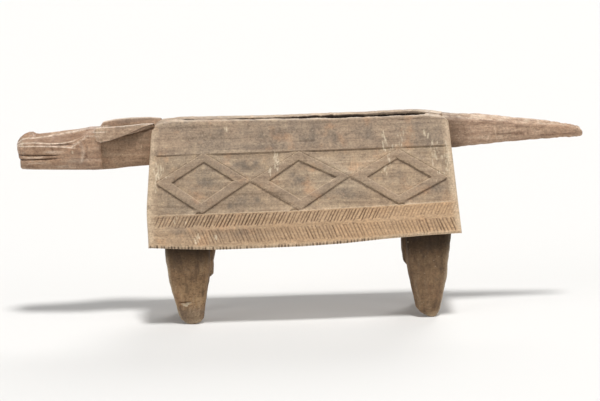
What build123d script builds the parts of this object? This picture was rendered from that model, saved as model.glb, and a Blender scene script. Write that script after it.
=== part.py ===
"""Four-legged animal slit drum, carved from one log and divided at the carving's own boundaries.

Units are millimetres. +Z is up, the head points along -X and the tail along +X.
The origin is on the floor, under the middle of the whole animal.
"""
import os
from build123d import *

os.makedirs("parts", exist_ok=True)

# ---- Sound box ------------------------------------------------------------------------
BODY_TOP_LENGTH = 612.0      # along the slit
BODY_TOP_WIDTH = 66.0        # across both lips
BODY_TOP_Z = 426.0
FLANK_SPREAD = 81.0          # how much further out a flank stands at FLANK_FOOT_Z than at the top
FLANK_FOOT_Z = 172.0
END_LEAN = 22.0              # how much further out an end stands at FLANK_FOOT_Z than at the top
WALL = 18.0                  # flank thickness, measured level
SLIT_WIDTH = 24.0
FRONT_SOLID = 39.0           # solid wood between the front end and the slit, at the top
REAR_SOLID = 44.0
LIP_Z = 363.0                # the lips start here, at the ledge under the plain top band
LIP_SHOULDER = 37.0          # height over which a lip narrows the chamber to the slit
BELLY_Z = 190.0              # underside of the belly, behind the flanks' lower edges
BELLY_THICK = 22.0
SKIRT_FRONT_Z = 175.0        # lower edge of a flank at the front, where it dips, and at the rear
SKIRT_DIP_Z = 168.0
SKIRT_REAR_Z = 187.0

# ---- Carved band of lozenges ----------------------------------------------------------
BAND_CENTRE_Z = 303.0
BAND_WIDTH = 18.0
BAND_RELIEF = 2.5
LOZENGE_COUNT = 3
LOZENGE_PITCH = 207.0
LOZENGE_HEIGHT = 124.0       # measured up the flank
LOZENGE_OVERLAP = 8.0        # neighbours share this much where their bands cross

# ---- Neck, head and ears --------------------------------------------------------------
NECK_LENGTH = 124.0          # from the sound box's top front edge
NECK_HALF_WIDTH = 34.0
NECK_LOW_Z = 338.0
NECK_TOP_Z = 414.0
HEAD_LENGTH = 176.0
HEAD_HALF_WIDTH = 44.0       # at the cheeks
HEAD_TOP_Z = 416.0
NOSE_HALF_WIDTH = 17.0
NOSE_Z = 384.0
NOSE_RISE = 4.0              # the nostril knob stands this much lower than the brow
MOUTH_Z = 358.0
JAW_LOW_Z = 333.0
JAW_SET_BACK = 5.0           # the jaw's front lies behind the nose
EAR_LENGTH = 112.0
EAR_THICK = 14.0
EAR_TOP_Z = 426.0
EAR_LOW_Z = 390.0

# ---- Tail -----------------------------------------------------------------------------
TAIL_LENGTH = 288.0          # from the sound box's top rear edge
TAIL_ROOT_HALF_WIDTH = 31.0
TAIL_TIP_HALF_WIDTH = 10.0
TAIL_ROOT_TOP_Z = 418.0
TAIL_ROOT_LOW_Z = 356.0
TAIL_TIP_TOP_Z = 384.0
TAIL_TIP_LOW_Z = 368.0

# ---- Legs -----------------------------------------------------------------------------
LEG_TOP_LENGTH = 98.0        # along the body
LEG_TOP_WIDTH = 62.0         # across the body
SOLE_LENGTH = 30.0
SOLE_WIDTH = 26.0
LEG_TAPER = 0.42             # a leg narrows with this power of the height
LEG_CORNER = 0.3             # corner radius, as a share of the narrower side
FRONT_LEG_INSET = 56.0       # from the sound box's top front edge to the leg's centre
REAR_LEG_INSET = 46.0
LEG_CLEARANCE = 3.0          # between a leg's top and the inside of the flank beside it
FRONT_SOLE_SHIFT = 7.0       # a front sole stands this much further back than its leg's top
REAR_SOLE_SHIFT = -2.0

# ---- Hidden tenons --------------------------------------------------------------------
TENON_HALF_WIDTH = 12.0
TENON_HEIGHT = 32.0
TENON_DEPTH = 20.0
PEG_RADIUS = 15.0            # round tenon on top of each leg
PEG_DEPTH = 14.0
BOTTOM_GAP = 0.5             # a mortise is this much deeper than its tenon

# ---- Places that follow from the sizes -------------------------------------------------
BODY_X = (NECK_LENGTH + HEAD_LENGTH - TAIL_LENGTH) / 2
FRONT_X = BODY_X - BODY_TOP_LENGTH / 2
REAR_X = BODY_X + BODY_TOP_LENGTH / 2
CHEEK_X = FRONT_X - NECK_LENGTH
NOSE_X = CHEEK_X - HEAD_LENGTH
TAIL_X = REAR_X + TAIL_LENGTH
BELLY_TOP_Z = BELLY_Z + BELLY_THICK
SHOULDER_Z = LIP_Z + LIP_SHOULDER
FAR = 2 * (BODY_TOP_LENGTH + TAIL_LENGTH)     # longer than anything it cuts


def half_width(z):
    """Outer half width of the sound box at height z."""
    return BODY_TOP_WIDTH / 2 + FLANK_SPREAD * (BODY_TOP_Z - z) / (BODY_TOP_Z - FLANK_FOOT_Z)


def lean(z):
    """How far an end of the sound box stands out at height z."""
    return END_LEAN * (BODY_TOP_Z - z) / (BODY_TOP_Z - FLANK_FOOT_Z)


LEG_SIDE = half_width(BELLY_Z) - WALL - LEG_CLEARANCE - LEG_TOP_WIDTH / 2


def body_prism(section):
    """A prism with this YZ section, trimmed to the leaning ends and the flanks' lower edge."""
    with BuildPart() as prism:
        with BuildSketch(Plane.YZ):
            with BuildLine():
                Polyline(*section, close=True)
            make_face()
        extrude(amount=FAR, both=True)
        with BuildSketch(Plane.XZ):
            with BuildLine():
                front_low = (FRONT_X - lean(SKIRT_FRONT_Z), SKIRT_FRONT_Z)
                rear_low = (REAR_X + lean(SKIRT_REAR_Z), SKIRT_REAR_Z)
                ThreePointArc(front_low, (BODY_X - BODY_TOP_LENGTH / 10, SKIRT_DIP_Z), rear_low)
                Polyline(rear_low, (REAR_X, BODY_TOP_Z), (FRONT_X, BODY_TOP_Z), front_low)
            make_face()
        extrude(amount=FAR, both=True, mode=Mode.INTERSECT)
    return prism.part


def finish(builder, name):
    """Label a finished piece and write it."""
    builder.part.label = name
    export_step(builder.part, f"parts/{name}.step")


def write_pair(left, name):
    """Write a piece of the left side and its mirror image on the right."""
    finish(left, f"left_{name}")
    with BuildPart() as right:
        mirror(left.part, about=Plane.XZ)
    finish(right, f"right_{name}")


# ---- Flanks: the two leaning walls of the sound box ------------------------------------
low_z = SKIRT_DIP_Z - WALL
with BuildPart() as flank:
    add(body_prism([
        (-half_width(low_z), low_z),
        (-half_width(LIP_Z), LIP_Z),
        (-half_width(LIP_Z) + WALL, LIP_Z),
        (-half_width(low_z) + WALL, low_z),
    ]))
write_pair(flank, "flank")

# ---- Lips: the thick edges on each side of the slit, where the drum is struck -----------
with BuildPart() as lip:
    add(body_prism([
        (-half_width(LIP_Z), LIP_Z),
        (-half_width(BODY_TOP_Z), BODY_TOP_Z),
        (-SLIT_WIDTH / 2, BODY_TOP_Z),
        (-SLIT_WIDTH / 2, SHOULDER_Z),
        (-half_width(LIP_Z) + WALL, LIP_Z),
    ]))
write_pair(lip, "lip")

# ---- Belly: the floor of the sound box, with a socket for each leg ----------------------
leg_places = {
    "front": (FRONT_X + FRONT_LEG_INSET, FRONT_SOLE_SHIFT),
    "rear": (REAR_X - REAR_LEG_INSET, REAR_SOLE_SHIFT),
}
with BuildPart() as belly:
    add(body_prism([
        (-half_width(BELLY_Z) + WALL, BELLY_Z),
        (-half_width(BELLY_TOP_Z) + WALL, BELLY_TOP_Z),
        (half_width(BELLY_TOP_Z) - WALL, BELLY_TOP_Z),
        (half_width(BELLY_Z) - WALL, BELLY_Z),
    ]))
    with BuildSketch(Plane.XY.offset(BELLY_Z)):
        for leg_x, _ in leg_places.values():
            with Locations((leg_x, LEG_SIDE), (leg_x, -LEG_SIDE)):
                Circle(PEG_RADIUS)
    extrude(amount=PEG_DEPTH + BOTTOM_GAP, mode=Mode.SUBTRACT)
finish(belly, "belly")

# ---- End blocks: the solid wood that closes the chamber and the slit --------------------
block_section = [
    (-half_width(BELLY_TOP_Z) + WALL, BELLY_TOP_Z),
    (-half_width(LIP_Z) + WALL, LIP_Z),
    (-SLIT_WIDTH / 2, SHOULDER_Z),
    (-SLIT_WIDTH / 2, BODY_TOP_Z),
    (SLIT_WIDTH / 2, BODY_TOP_Z),
    (SLIT_WIDTH / 2, SHOULDER_Z),
    (half_width(LIP_Z) - WALL, LIP_Z),
    (half_width(BELLY_TOP_Z) - WALL, BELLY_TOP_Z),
]
neck_tenon_z = (NECK_LOW_Z + NECK_TOP_Z) / 2
tail_tenon_z = (TAIL_ROOT_LOW_Z + TAIL_ROOT_TOP_Z) / 2


def tenon_profile(end_x, direction, centre_z, depth):
    """Side view of a tenon that enters the sound box's leaning end, outer end first."""
    low, high = centre_z - TENON_HEIGHT / 2, centre_z + TENON_HEIGHT / 2
    inner = end_x + direction * depth
    Polyline(
        (end_x - direction * lean(low), low),
        (inner, low),
        (inner, high),
        (end_x - direction * lean(high), high),
        close=True,
    )


with BuildPart() as front_end_block:
    add(body_prism(block_section))
    split(bisect_by=Plane.YZ.offset(FRONT_X + FRONT_SOLID), keep=Keep.BOTTOM)
    with BuildSketch(Plane.XZ):
        with BuildLine():
            tenon_profile(FRONT_X, 1, neck_tenon_z, TENON_DEPTH + BOTTOM_GAP)
        make_face()
    extrude(amount=TENON_HALF_WIDTH, both=True, mode=Mode.SUBTRACT)
finish(front_end_block, "front_end_block")

with BuildPart() as rear_end_block:
    add(body_prism(block_section))
    split(bisect_by=Plane.YZ.offset(REAR_X - REAR_SOLID), keep=Keep.TOP)
    with BuildSketch(Plane.XZ):
        with BuildLine():
            tenon_profile(REAR_X, -1, tail_tenon_z, TENON_DEPTH + BOTTOM_GAP)
        make_face()
    extrude(amount=TENON_HALF_WIDTH, both=True, mode=Mode.SUBTRACT)
finish(rear_end_block, "rear_end_block")

# ---- Lozenge chains: raised bands on the outside of each flank --------------------------
flank_rise = Vector(0, FLANK_SPREAD, BODY_TOP_Z - FLANK_FOOT_Z).normalized()
flank_face = Plane(
    origin=(BODY_X, -half_width(BAND_CENTRE_Z), BAND_CENTRE_Z),
    x_dir=(1, 0, 0),
    z_dir=(0, -flank_rise.Z, flank_rise.Y),
)
outer_half = (LOZENGE_PITCH + LOZENGE_OVERLAP) / 2
outer_rise = LOZENGE_HEIGHT / 2
side_length = (outer_half**2 + outer_rise**2) ** 0.5
inner_share = 1 - BAND_WIDTH * side_length / (outer_half * outer_rise)


def lozenge_corners(scale):
    """The corners of a lozenge, as a share of the outer one."""
    across, up = outer_half * scale, outer_rise * scale
    return [(-across, 0), (0, up), (across, 0), (0, -up)]


with BuildSketch(Plane.XY) as outer_lozenge:
    with BuildLine():
        Polyline(*lozenge_corners(1.0), close=True)
    make_face()
with BuildSketch(Plane.XY) as inner_lozenge:
    with BuildLine():
        Polyline(*lozenge_corners(inner_share), close=True)
    make_face()
with BuildPart() as lozenge_chain:
    with BuildSketch(flank_face):
        with GridLocations(LOZENGE_PITCH, 0, LOZENGE_COUNT, 1):
            add(outer_lozenge.sketch)
        with GridLocations(LOZENGE_PITCH, 0, LOZENGE_COUNT, 1):
            add(inner_lozenge.sketch, mode=Mode.SUBTRACT)
    extrude(amount=BAND_RELIEF)
write_pair(lozenge_chain, "lozenge_chain")

# ---- Neck: a thick bar between the head and the sound box -------------------------------
with BuildPart() as neck:
    with BuildSketch(Plane.XZ):
        with BuildLine():
            Polyline(
                (CHEEK_X, NECK_LOW_Z),
                (FRONT_X - lean(NECK_LOW_Z), NECK_LOW_Z),
                (FRONT_X - lean(NECK_TOP_Z), NECK_TOP_Z),
                (CHEEK_X, NECK_TOP_Z),
                close=True,
            )
        make_face()
    extrude(amount=NECK_HALF_WIDTH, both=True)
    with BuildSketch(Plane.XZ):
        with BuildLine():
            tenon_profile(FRONT_X, 1, neck_tenon_z, TENON_DEPTH)
        make_face()
        with Locations((CHEEK_X - TENON_DEPTH / 2, neck_tenon_z + TENON_HEIGHT / 4)):
            Rectangle(TENON_DEPTH, TENON_HEIGHT / 2)
    extrude(amount=TENON_HALF_WIDTH, both=True)
finish(neck, "neck")


def muzzle_outline():
    """Top view of the muzzle, from the cheeks to a rounded nose."""
    nose_left = (NOSE_X + NOSE_HALF_WIDTH, -NOSE_HALF_WIDTH)
    nose_right = (NOSE_X + NOSE_HALF_WIDTH, NOSE_HALF_WIDTH)
    Polyline(nose_right, (CHEEK_X, HEAD_HALF_WIDTH), (CHEEK_X, -HEAD_HALF_WIDTH), nose_left)
    ThreePointArc(nose_left, (NOSE_X, 0), nose_right)


# ---- Head: cheeks, long muzzle and upturned nose, above the mouth ------------------------
with BuildPart() as head:
    with BuildSketch(Plane.XY):
        with BuildLine():
            muzzle_outline()
        make_face()
    extrude(amount=BODY_TOP_Z)
    with BuildSketch(Plane.XZ):
        with BuildLine():
            nose_top = (NOSE_X + 2 * NOSE_HALF_WIDTH, HEAD_TOP_Z - NOSE_RISE)
            nose_dip = (NOSE_X + 3 * NOSE_HALF_WIDTH, HEAD_TOP_Z - 3 * NOSE_RISE)
            nose_tip = (NOSE_X, NOSE_Z)
            Polyline((NOSE_X, MOUTH_Z), (CHEEK_X, MOUTH_Z), (CHEEK_X, HEAD_TOP_Z), nose_dip, nose_top)
            TangentArc(nose_top, nose_tip, tangent=(-1, 0))
            Line(nose_tip, (NOSE_X, MOUTH_Z))
        make_face()
    extrude(amount=HEAD_HALF_WIDTH, both=True, mode=Mode.INTERSECT)
    with BuildSketch(Plane.YZ.offset(CHEEK_X)):
        with Locations((0, neck_tenon_z + TENON_HEIGHT / 4)):
            Rectangle(2 * TENON_HALF_WIDTH, TENON_HEIGHT / 2)
    extrude(amount=-(TENON_DEPTH + BOTTOM_GAP), mode=Mode.SUBTRACT)
finish(head, "head")

# ---- Lower jaw: the bar under the mouth line --------------------------------------------
with BuildPart() as lower_jaw:
    with BuildSketch(Plane.XY.offset(JAW_LOW_Z)):
        with BuildLine():
            muzzle_outline()
        make_face()
    extrude(amount=MOUTH_Z - JAW_LOW_Z)
    split(bisect_by=Plane.YZ.offset(NOSE_X + JAW_SET_BACK), keep=Keep.TOP)
finish(lower_jaw, "lower_jaw")

# ---- Ears: long leaves laid back along the neck -----------------------------------------
with BuildPart() as ear:
    with BuildSketch(Plane.XZ.offset(NECK_HALF_WIDTH)):
        with BuildLine():
            ear_root = (CHEEK_X, EAR_LOW_Z)
            ear_crown = (CHEEK_X, EAR_TOP_Z - EAR_THICK / 2)
            ear_top = (CHEEK_X + EAR_LENGTH * 0.6, EAR_TOP_Z)
            ear_tip = (CHEEK_X + EAR_LENGTH, EAR_TOP_Z - EAR_THICK / 4)
            ThreePointArc(ear_crown, ear_top, ear_tip)
            Polyline(ear_tip, (CHEEK_X + EAR_LENGTH * 0.6, (EAR_TOP_Z + EAR_LOW_Z) / 2), ear_root, ear_crown)
        make_face()
    extrude(amount=EAR_THICK)
write_pair(ear, "ear")

# ---- Tail: a long bar that tapers to a blunt tip -----------------------------------------
with BuildPart() as tail:
    with BuildSketch(Plane.XZ):
        with BuildLine():
            Polyline(
                (REAR_X + lean(TAIL_ROOT_LOW_Z), TAIL_ROOT_LOW_Z),
                (TAIL_X, TAIL_TIP_LOW_Z),
                (TAIL_X, TAIL_TIP_TOP_Z),
                (REAR_X + lean(TAIL_ROOT_TOP_Z), TAIL_ROOT_TOP_Z),
                close=True,
            )
        make_face()
    extrude(amount=TAIL_ROOT_HALF_WIDTH, both=True)
    with BuildSketch(Plane.XY):
        with BuildLine():
            Polyline(
                (REAR_X, -TAIL_ROOT_HALF_WIDTH),
                (TAIL_X, -TAIL_TIP_HALF_WIDTH),
                (TAIL_X, TAIL_TIP_HALF_WIDTH),
                (REAR_X, TAIL_ROOT_HALF_WIDTH),
                close=True,
            )
        make_face()
    extrude(amount=BODY_TOP_Z, mode=Mode.INTERSECT)
    with BuildSketch(Plane.XZ):
        with BuildLine():
            tenon_profile(REAR_X, -1, tail_tenon_z, TENON_DEPTH)
        make_face()
    extrude(amount=TENON_HALF_WIDTH, both=True)
finish(tail, "tail")


# ---- Legs: stout pegs that narrow to small soles -----------------------------------------
for leg_name, (leg_x, sole_shift) in leg_places.items():
    for side_name, side in (("left", -1), ("right", 1)):
        with BuildPart() as leg:
            for share in (0, 0.08, 0.22, 0.5, 1):
                grown = share**LEG_TAPER
                length = SOLE_LENGTH + (LEG_TOP_LENGTH - SOLE_LENGTH) * grown
                width = SOLE_WIDTH + (LEG_TOP_WIDTH - SOLE_WIDTH) * grown
                centre_x = leg_x + sole_shift * (1 - share)
                with BuildSketch(Plane((centre_x, side * LEG_SIDE, share * BELLY_Z))):
                    RectangleRounded(length, width, LEG_CORNER * width)
            loft(ruled=True)
            with BuildSketch(Plane((leg_x, side * LEG_SIDE, BELLY_Z))):
                Circle(PEG_RADIUS)
            extrude(amount=PEG_DEPTH)
        finish(leg, f"{leg_name}_{side_name}_leg")
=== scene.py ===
# %% [markdown]
# # A slit drum in the shape of an animal
# The real drum is one log, hollowed through a long slit and carved outside with an adze, a
# chisel and a knife. We could wrap pictures of carving on plain blocks, but then the cuts would
# vanish from the side. Instead every cut here is real geometry: each piece is a stack of
# cross-sections, and the carving moves their points in or out.

# %% Load the frame
import math

import bmesh
import bpy
import numpy as np
from mathutils import Matrix, Vector


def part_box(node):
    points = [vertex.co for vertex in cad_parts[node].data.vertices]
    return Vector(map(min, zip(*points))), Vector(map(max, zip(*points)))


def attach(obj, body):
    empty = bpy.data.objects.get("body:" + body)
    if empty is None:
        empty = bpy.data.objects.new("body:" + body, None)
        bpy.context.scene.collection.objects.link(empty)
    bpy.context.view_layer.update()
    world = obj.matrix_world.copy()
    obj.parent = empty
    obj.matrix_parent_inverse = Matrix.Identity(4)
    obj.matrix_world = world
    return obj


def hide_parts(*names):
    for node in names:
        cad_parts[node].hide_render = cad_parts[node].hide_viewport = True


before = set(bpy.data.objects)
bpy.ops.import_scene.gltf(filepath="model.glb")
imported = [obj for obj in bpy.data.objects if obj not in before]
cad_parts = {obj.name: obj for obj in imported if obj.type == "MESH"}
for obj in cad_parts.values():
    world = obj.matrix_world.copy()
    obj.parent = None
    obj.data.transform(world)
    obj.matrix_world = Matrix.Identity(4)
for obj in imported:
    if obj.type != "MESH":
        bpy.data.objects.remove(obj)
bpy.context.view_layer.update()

MM = 0.001

# %% [markdown]
# ## Where the sound box lies
# The flaring box has straight sides, so a few corners tell us its shape: how long it is, and how
# wide at the ledge and at its foot. We read them from the CAD pieces, in millimetres, so the
# looks follow the model when its sizes change. Only the lean of the ends, how far the front end
# bows out and the thickness of the walls are written here.

# %% Sizes read from the frame


def corners(node):
    """Lowest and highest corner of a CAD piece, in millimetres."""
    low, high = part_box(node)
    return np.array(low) / MM, np.array(high) / MM


lip_low, lip_high = corners("left_lip")
flank_low, _ = corners("left_flank")
belly_low, belly_high = corners("belly")
_, front_block_high = corners("front_end_block")
rear_block_low, _ = corners("rear_end_block")
head_low, head_high = corners("head")

TOP_Z = lip_high[2]
LEDGE_Z = lip_low[2]
FOOT_Z = flank_low[2]
SPREAD = (lip_low[1] - flank_low[1]) / (LEDGE_Z - FOOT_Z)
LEAN = 22.0 / 254.0           # how far an end leans out for each millimetre down
FRONT_X = lip_low[0] + LEAN * (TOP_Z - LEDGE_Z)
REAR_X = lip_high[0] - LEAN * (TOP_Z - LEDGE_Z)
WALL = 18.0
FRONT_BOW = 9.5
BOW_LOW_Z = FOOT_Z - 10.0
BOW_HIGH_Z = FOOT_Z + 100.0
FLANK_RISE = np.array([SPREAD, 1.0]) / math.hypot(SPREAD, 1.0)


def smooth(value, start, stop):
    """0 before start, 1 after stop, and a soft step between."""
    share = np.clip((value - start) / (stop - start), 0.0, 1.0)
    return share * share * (3 - 2 * share)


def peak(gap, width):
    """1 where the gap is nothing, fading to 0 at the width."""
    return np.clip(1 - np.abs(gap) / width, 0, 1)


def half_width(z):
    """Outer half width of the sound box at height z."""
    return -lip_low[1] + SPREAD * (LEDGE_Z - z)


def front_end(z):
    """Where the sound box's front end stands at height z; it bows out above its foot."""
    return FRONT_X - LEAN * (TOP_Z - z) - FRONT_BOW * smooth(z, BOW_LOW_Z, BOW_HIGH_Z)


def rear_end(z):
    """Where the sound box's rear end stands at height z."""
    return REAR_X + LEAN * (TOP_Z - z)


def between_ends(share, z):
    """A share of the way from the front end to the rear end, at height z."""
    return front_end(z) + share * (rear_end(z) - front_end(z))


print("top", TOP_Z, "ledge", LEDGE_Z, "half widths", half_width(TOP_Z), half_width(FOOT_Z))

# %% [markdown]
# ## The camera first
# A long lens from far away keeps the long animal's parallel lines nearly parallel. The camera
# looks a little down on the back and is turned by a small roll, which makes the drum climb
# towards its tail.

# %% Camera
VIEW_DOWN = math.radians(11.0)
VIEW_ROLL = math.radians(1.75)
VIEW_DISTANCE = 5.5
VIEW_TARGET = Vector((-0.0031, 0.0, 0.2457))
VIEW_WIDTH = 600 * 0.0021216  # metres across the frame, at the target
SENSOR = 36.0


def in_scene(name, data):
    """A new object in the scene for some data."""
    thing = bpy.data.objects.new(name, data)
    bpy.context.scene.collection.objects.link(thing)
    return thing


look = Vector((0.0, math.cos(VIEW_DOWN), -math.sin(VIEW_DOWN)))
level = Vector((1.0, 0.0, 0.0))
above = Vector((0.0, math.sin(VIEW_DOWN), math.cos(VIEW_DOWN)))
across = level * math.cos(VIEW_ROLL) - above * math.sin(VIEW_ROLL)
upward = level * math.sin(VIEW_ROLL) + above * math.cos(VIEW_ROLL)

camera_data = bpy.data.cameras.new("camera")
camera_data.sensor_width = SENSOR
camera_data.lens = SENSOR * VIEW_DISTANCE / VIEW_WIDTH
camera_data.clip_end = 50.0
camera = in_scene("camera", camera_data)
turn = Matrix((across, upward, -look)).transposed().to_4x4()
camera.matrix_world = Matrix.Translation(VIEW_TARGET - look * VIEW_DISTANCE) @ turn
bpy.context.scene.camera = camera
bpy.context.scene.view_settings.view_transform = "Standard"
print("lens", round(camera_data.lens, 1), "mm")

# %% [markdown]
# ## Hand-made unevenness
# Nothing carved by hand is quite flat. Smooth random lumps in space, at a few sizes, do this
# well: the same lump reaches across a joint, so neighbouring pieces still meet. Blender has
# noise of its own, but a small one in numpy moves a hundred thousand points at once.

# %% Lumps in space
shuffled = np.random.RandomState(11).permutation(256)
heights = np.random.RandomState(12).uniform(-1.0, 1.0, 256)


def lattice(ix, iy, iz):
    """A repeatable random height at each whole-numbered place."""
    first = shuffled[ix & 255]
    second = shuffled[(first + iy) & 255]
    return heights[shuffled[(second + iz) & 255]]


def lumps(points, size, seed=0):
    """Smooth random heights from -1 to 1 with lumps of this size in millimetres."""
    place = np.asarray(points, float) / size + 19.7 * seed
    cell = np.floor(place).astype(int)
    part = place - cell
    part = part * part * (3 - 2 * part)
    total = 0.0
    for dx in (0, 1):
        for dy in (0, 1):
            for dz in (0, 1):
                weight = np.ones(place.shape[:-1])
                for axis, step in enumerate((dx, dy, dz)):
                    weight = weight * (part[..., axis] if step else 1 - part[..., axis])
                total = total + weight * lattice(
                    cell[..., 0] + dx, cell[..., 1] + dy, cell[..., 2] + dz)
    return total


def rough(points, coarse, fine, seed=0):
    """Two sizes of hand-carved unevenness, as (size, height) pairs in millimetres."""
    bumps = coarse[1] * lumps(points, coarse[0], seed)
    return bumps + fine[1] * lumps(points, fine[0], seed + 1)


def facets(points, size, depth, seed=0):
    """Shallow scoops as an adze leaves them: round-bottomed hollows that meet in ridges."""
    place = np.asarray(points, float) / size
    cell = np.floor(place).astype(int)
    nearest = np.full(place.shape[:-1], 9.0)
    for dx in (-1, 0, 1):
        for dy in (-1, 0, 1):
            for dz in (-1, 0, 1):
                home = cell + np.array([dx, dy, dz])
                jitter = np.stack([lattice(home[..., 0] + seed * 7 + k * 31, home[..., 1],
                                           home[..., 2]) for k in range(3)], axis=-1)
                gap = place - (home + 0.5 + 0.4 * jitter)
                nearest = np.minimum(nearest, (gap**2).sum(axis=-1))
    return depth * (np.minimum(nearest, 0.5) - 0.25)


print("lumps at the origin", float(lumps(np.zeros(3), 40.0)))

# %% [markdown]
# ## Skins over cross-sections
# Every piece is a skin over rings of points, closed at both ends. It is the same idea as a
# boat's hull over its ribs. A subdivided block with a displace modifier could do it too, but
# rings let us put many points where the chisel worked and few where nothing shows.

# %% Skin builder
SAME_PLACE = 1e-7
SHARP_ANGLE = math.radians(55)
pieces = {}


def skin(name, rings, marks=None):
    """A closed mesh over rings shaped (stations, points, 3), in millimetres, with point marks."""
    stations, around, _ = rings.shape
    ends = np.stack([rings[0].mean(axis=0), rings[-1].mean(axis=0)])
    points = np.concatenate([rings.reshape(-1, 3), ends]) * MM
    index = np.arange(stations * around).reshape(stations, around)
    after = np.roll(index, -1, axis=1)
    quads = np.stack([index[:-1], after[:-1], after[1:], index[1:]], axis=-1).reshape(-1, 4)
    first = np.full(around, stations * around)
    start = np.stack([after[0], index[0], first], axis=-1)
    stop = np.stack([index[-1], after[-1], first + 1], axis=-1)
    faces = quads.tolist() + start.tolist() + stop.tolist()
    mesh = bpy.data.meshes.new(name)
    mesh.from_pydata(points.tolist(), [], faces)
    mesh.update()
    for mark, values in (marks or {}).items():
        flat = np.concatenate([np.asarray(values, float).reshape(-1), [0.0, 0.0]])
        mesh.attributes.new(mark, "FLOAT", "POINT").data.foreach_set("value", flat)
    return dress(name, mesh)


def dress(name, mesh):
    """Turn a mesh into a piece with outward faces and soft shading."""
    work = in_scene(name, mesh)
    shape = bmesh.new()
    shape.from_mesh(mesh)
    bmesh.ops.remove_doubles(shape, verts=shape.verts, dist=SAME_PLACE)
    bmesh.ops.recalc_face_normals(shape, faces=shape.faces)
    shape.to_mesh(mesh)
    shape.free()
    mesh.polygons.foreach_set("use_smooth", [True] * len(mesh.polygons))
    mesh.set_sharp_from_angle(angle=SHARP_ANGLE)
    pieces[name] = work
    print(f"{name}: {len(mesh.polygons)} faces")
    return work


def mirrored(points, side):
    """Points of the left side, or their mirror image where side is 1."""
    flipped = points.copy()
    flipped[..., 1] *= -side
    return flipped


def filled_ring(keys, count, passes):
    """Rings through a few key points at each station, filled in and then softened."""
    following = np.roll(keys, -1, axis=1)
    steps = np.linspace(0, 1, count + 1)[:-1, None]
    ring = keys[:, :, None] * (1 - steps) + following[:, :, None] * steps
    ring = ring.reshape(len(keys), -1, 2)
    for _ in range(passes):
        ring = (np.roll(ring, 1, axis=1) + 2 * ring + np.roll(ring, -1, axis=1)) / 4
    return ring


def rounded_square(angle, squareness):
    """Places from -1 to 1 on a square with rounded corners: a circle where squareness is 2."""
    power = 2 / squareness
    first, second = np.cos(angle), np.sin(angle)
    return np.sign(first) * np.abs(first)**power, np.sign(second) * np.abs(second)**power


SIDES = (("left", -1), ("right", 1))

# %% [markdown]
# ## The lines of the carving
# The carver first scored three long lines along each flank: the ledge under the plain top band,
# the upper edge of the herringbone and the line between its two rows. None is quite straight,
# so each is a few heights along the drum, joined up.

# %% Scored lines on a flank


def along(x, *places):
    """Heights joined up along the drum, from (x, z) places."""
    return np.interp(x, [p[0] for p in places], [p[1] for p in places])


def foot_line(x):
    """Lower edge of a flank."""
    return along(x, (-322, 176.5), (-250, 172), (-180, 169), (-6, 170.5), (80, 174),
                 (165, 180.5), (250, 185), (334, 188))


def ledge_line(x):
    """Ledge under the plain top band."""
    return along(x, (-306, 361), (0, 362), (306, 365))


def herring_top(x):
    """Upper edge of the herringbone."""
    return along(x, (-306, 239.8), (-4, 241.9), (150, 245.5), (314, 251.2))


def herring_middle(x):
    """Line where the two rows of strokes meet."""
    return along(x, (-306, 213), (-200, 211), (0, 214), (160, 217), (314, 223))


PANEL_DEPTH = 3.0
PANEL_FRONT_X = FRONT_X - 5.0
PANEL_REAR_X = REAR_X - 4.0
PANEL_SLOPE = 7.0
SHOULDER_REACH = 15.0
FRONT_SHOULDER_EXTRA = 40.0
LOZENGE_OUTER = (
    ((-305, 305), (-202, 364), (-106, 305), (-209, 241.5)),
    ((-106, 305), (-2, 361.5), (102, 308), (-3, 243.5)),
    ((102, 308), (205, 361), (309, 300), (204, 249)),
)
LOZENGE_INNER = (
    ((-270, 305), (-202, 345), (-141, 306), (-209, 263)),
    ((-67, 304), (-4, 343), (74, 307), (-2, 265)),
    ((138, 305), (203, 341.5), (272, 301), (203, 266.5)),
)


def inward(x, z, start, stop):
    """Distance from a side of a lozenge, positive on its inner side."""
    (x0, z0), (x1, z1) = start, stop
    return ((x - x0) * (z1 - z0) - (z - z0) * (x1 - x0)) / math.hypot(x1 - x0, z1 - z0)


def depth_inside(x, z, places):
    """Distance from the nearest side of a lozenge, positive inside it."""
    nearest = np.full(np.shape(x), np.inf)
    for start, stop in zip(places, places[1:] + places[:1]):
        nearest = np.minimum(nearest, inward(x, z, start, stop))
    return nearest


def band_depth(x, z):
    """Distance into the raised bands of the lozenge chain, negative outside them."""
    best = np.full(np.shape(x), -np.inf)
    for outer, inner in zip(LOZENGE_OUTER, LOZENGE_INNER):
        ring = np.minimum(depth_inside(x, z, outer), -depth_inside(x, z, inner))
        best = np.maximum(best, ring)
    return best


def shadow_below_band(x, z, reach):
    """1 just below a raised band, where a painted shadow goes, fading out at the reach."""
    outside = 1 - smooth(band_depth(x, z), -1.0, 0.4)
    return outside * smooth(band_depth(x, z + reach), -1.0, 0.6 * reach)


def soft_shoulder(x, z):
    """1 just above the upper edges of the lozenges, where the panel runs up to the band."""
    best = np.zeros(np.shape(x))
    for left, top, right, _ in LOZENGE_OUTER:
        depth = np.minimum(inward(x, z, left, top), inward(x, z, top, right))
        in_front = (x < top[0]) * (left == LOZENGE_OUTER[0][0])
        reach = SHOULDER_REACH + FRONT_SHOULDER_EXTRA * in_front
        best = np.maximum(best, smooth(depth, -reach, -1.0) * (depth < 1.0))
    return best


print("in the first band:", float(band_depth(np.array(-290.0), np.array(305.0))))

# %% [markdown]
# ## The herringbone
# Two rows of short chisel cuts lean against each other like fish bones. Each cut gets its own
# number, and that number gives its own small shift, tilt, length and depth, so no two are
# alike. The upper row is shallower near the tail, and the lower row fades near the head.

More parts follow.
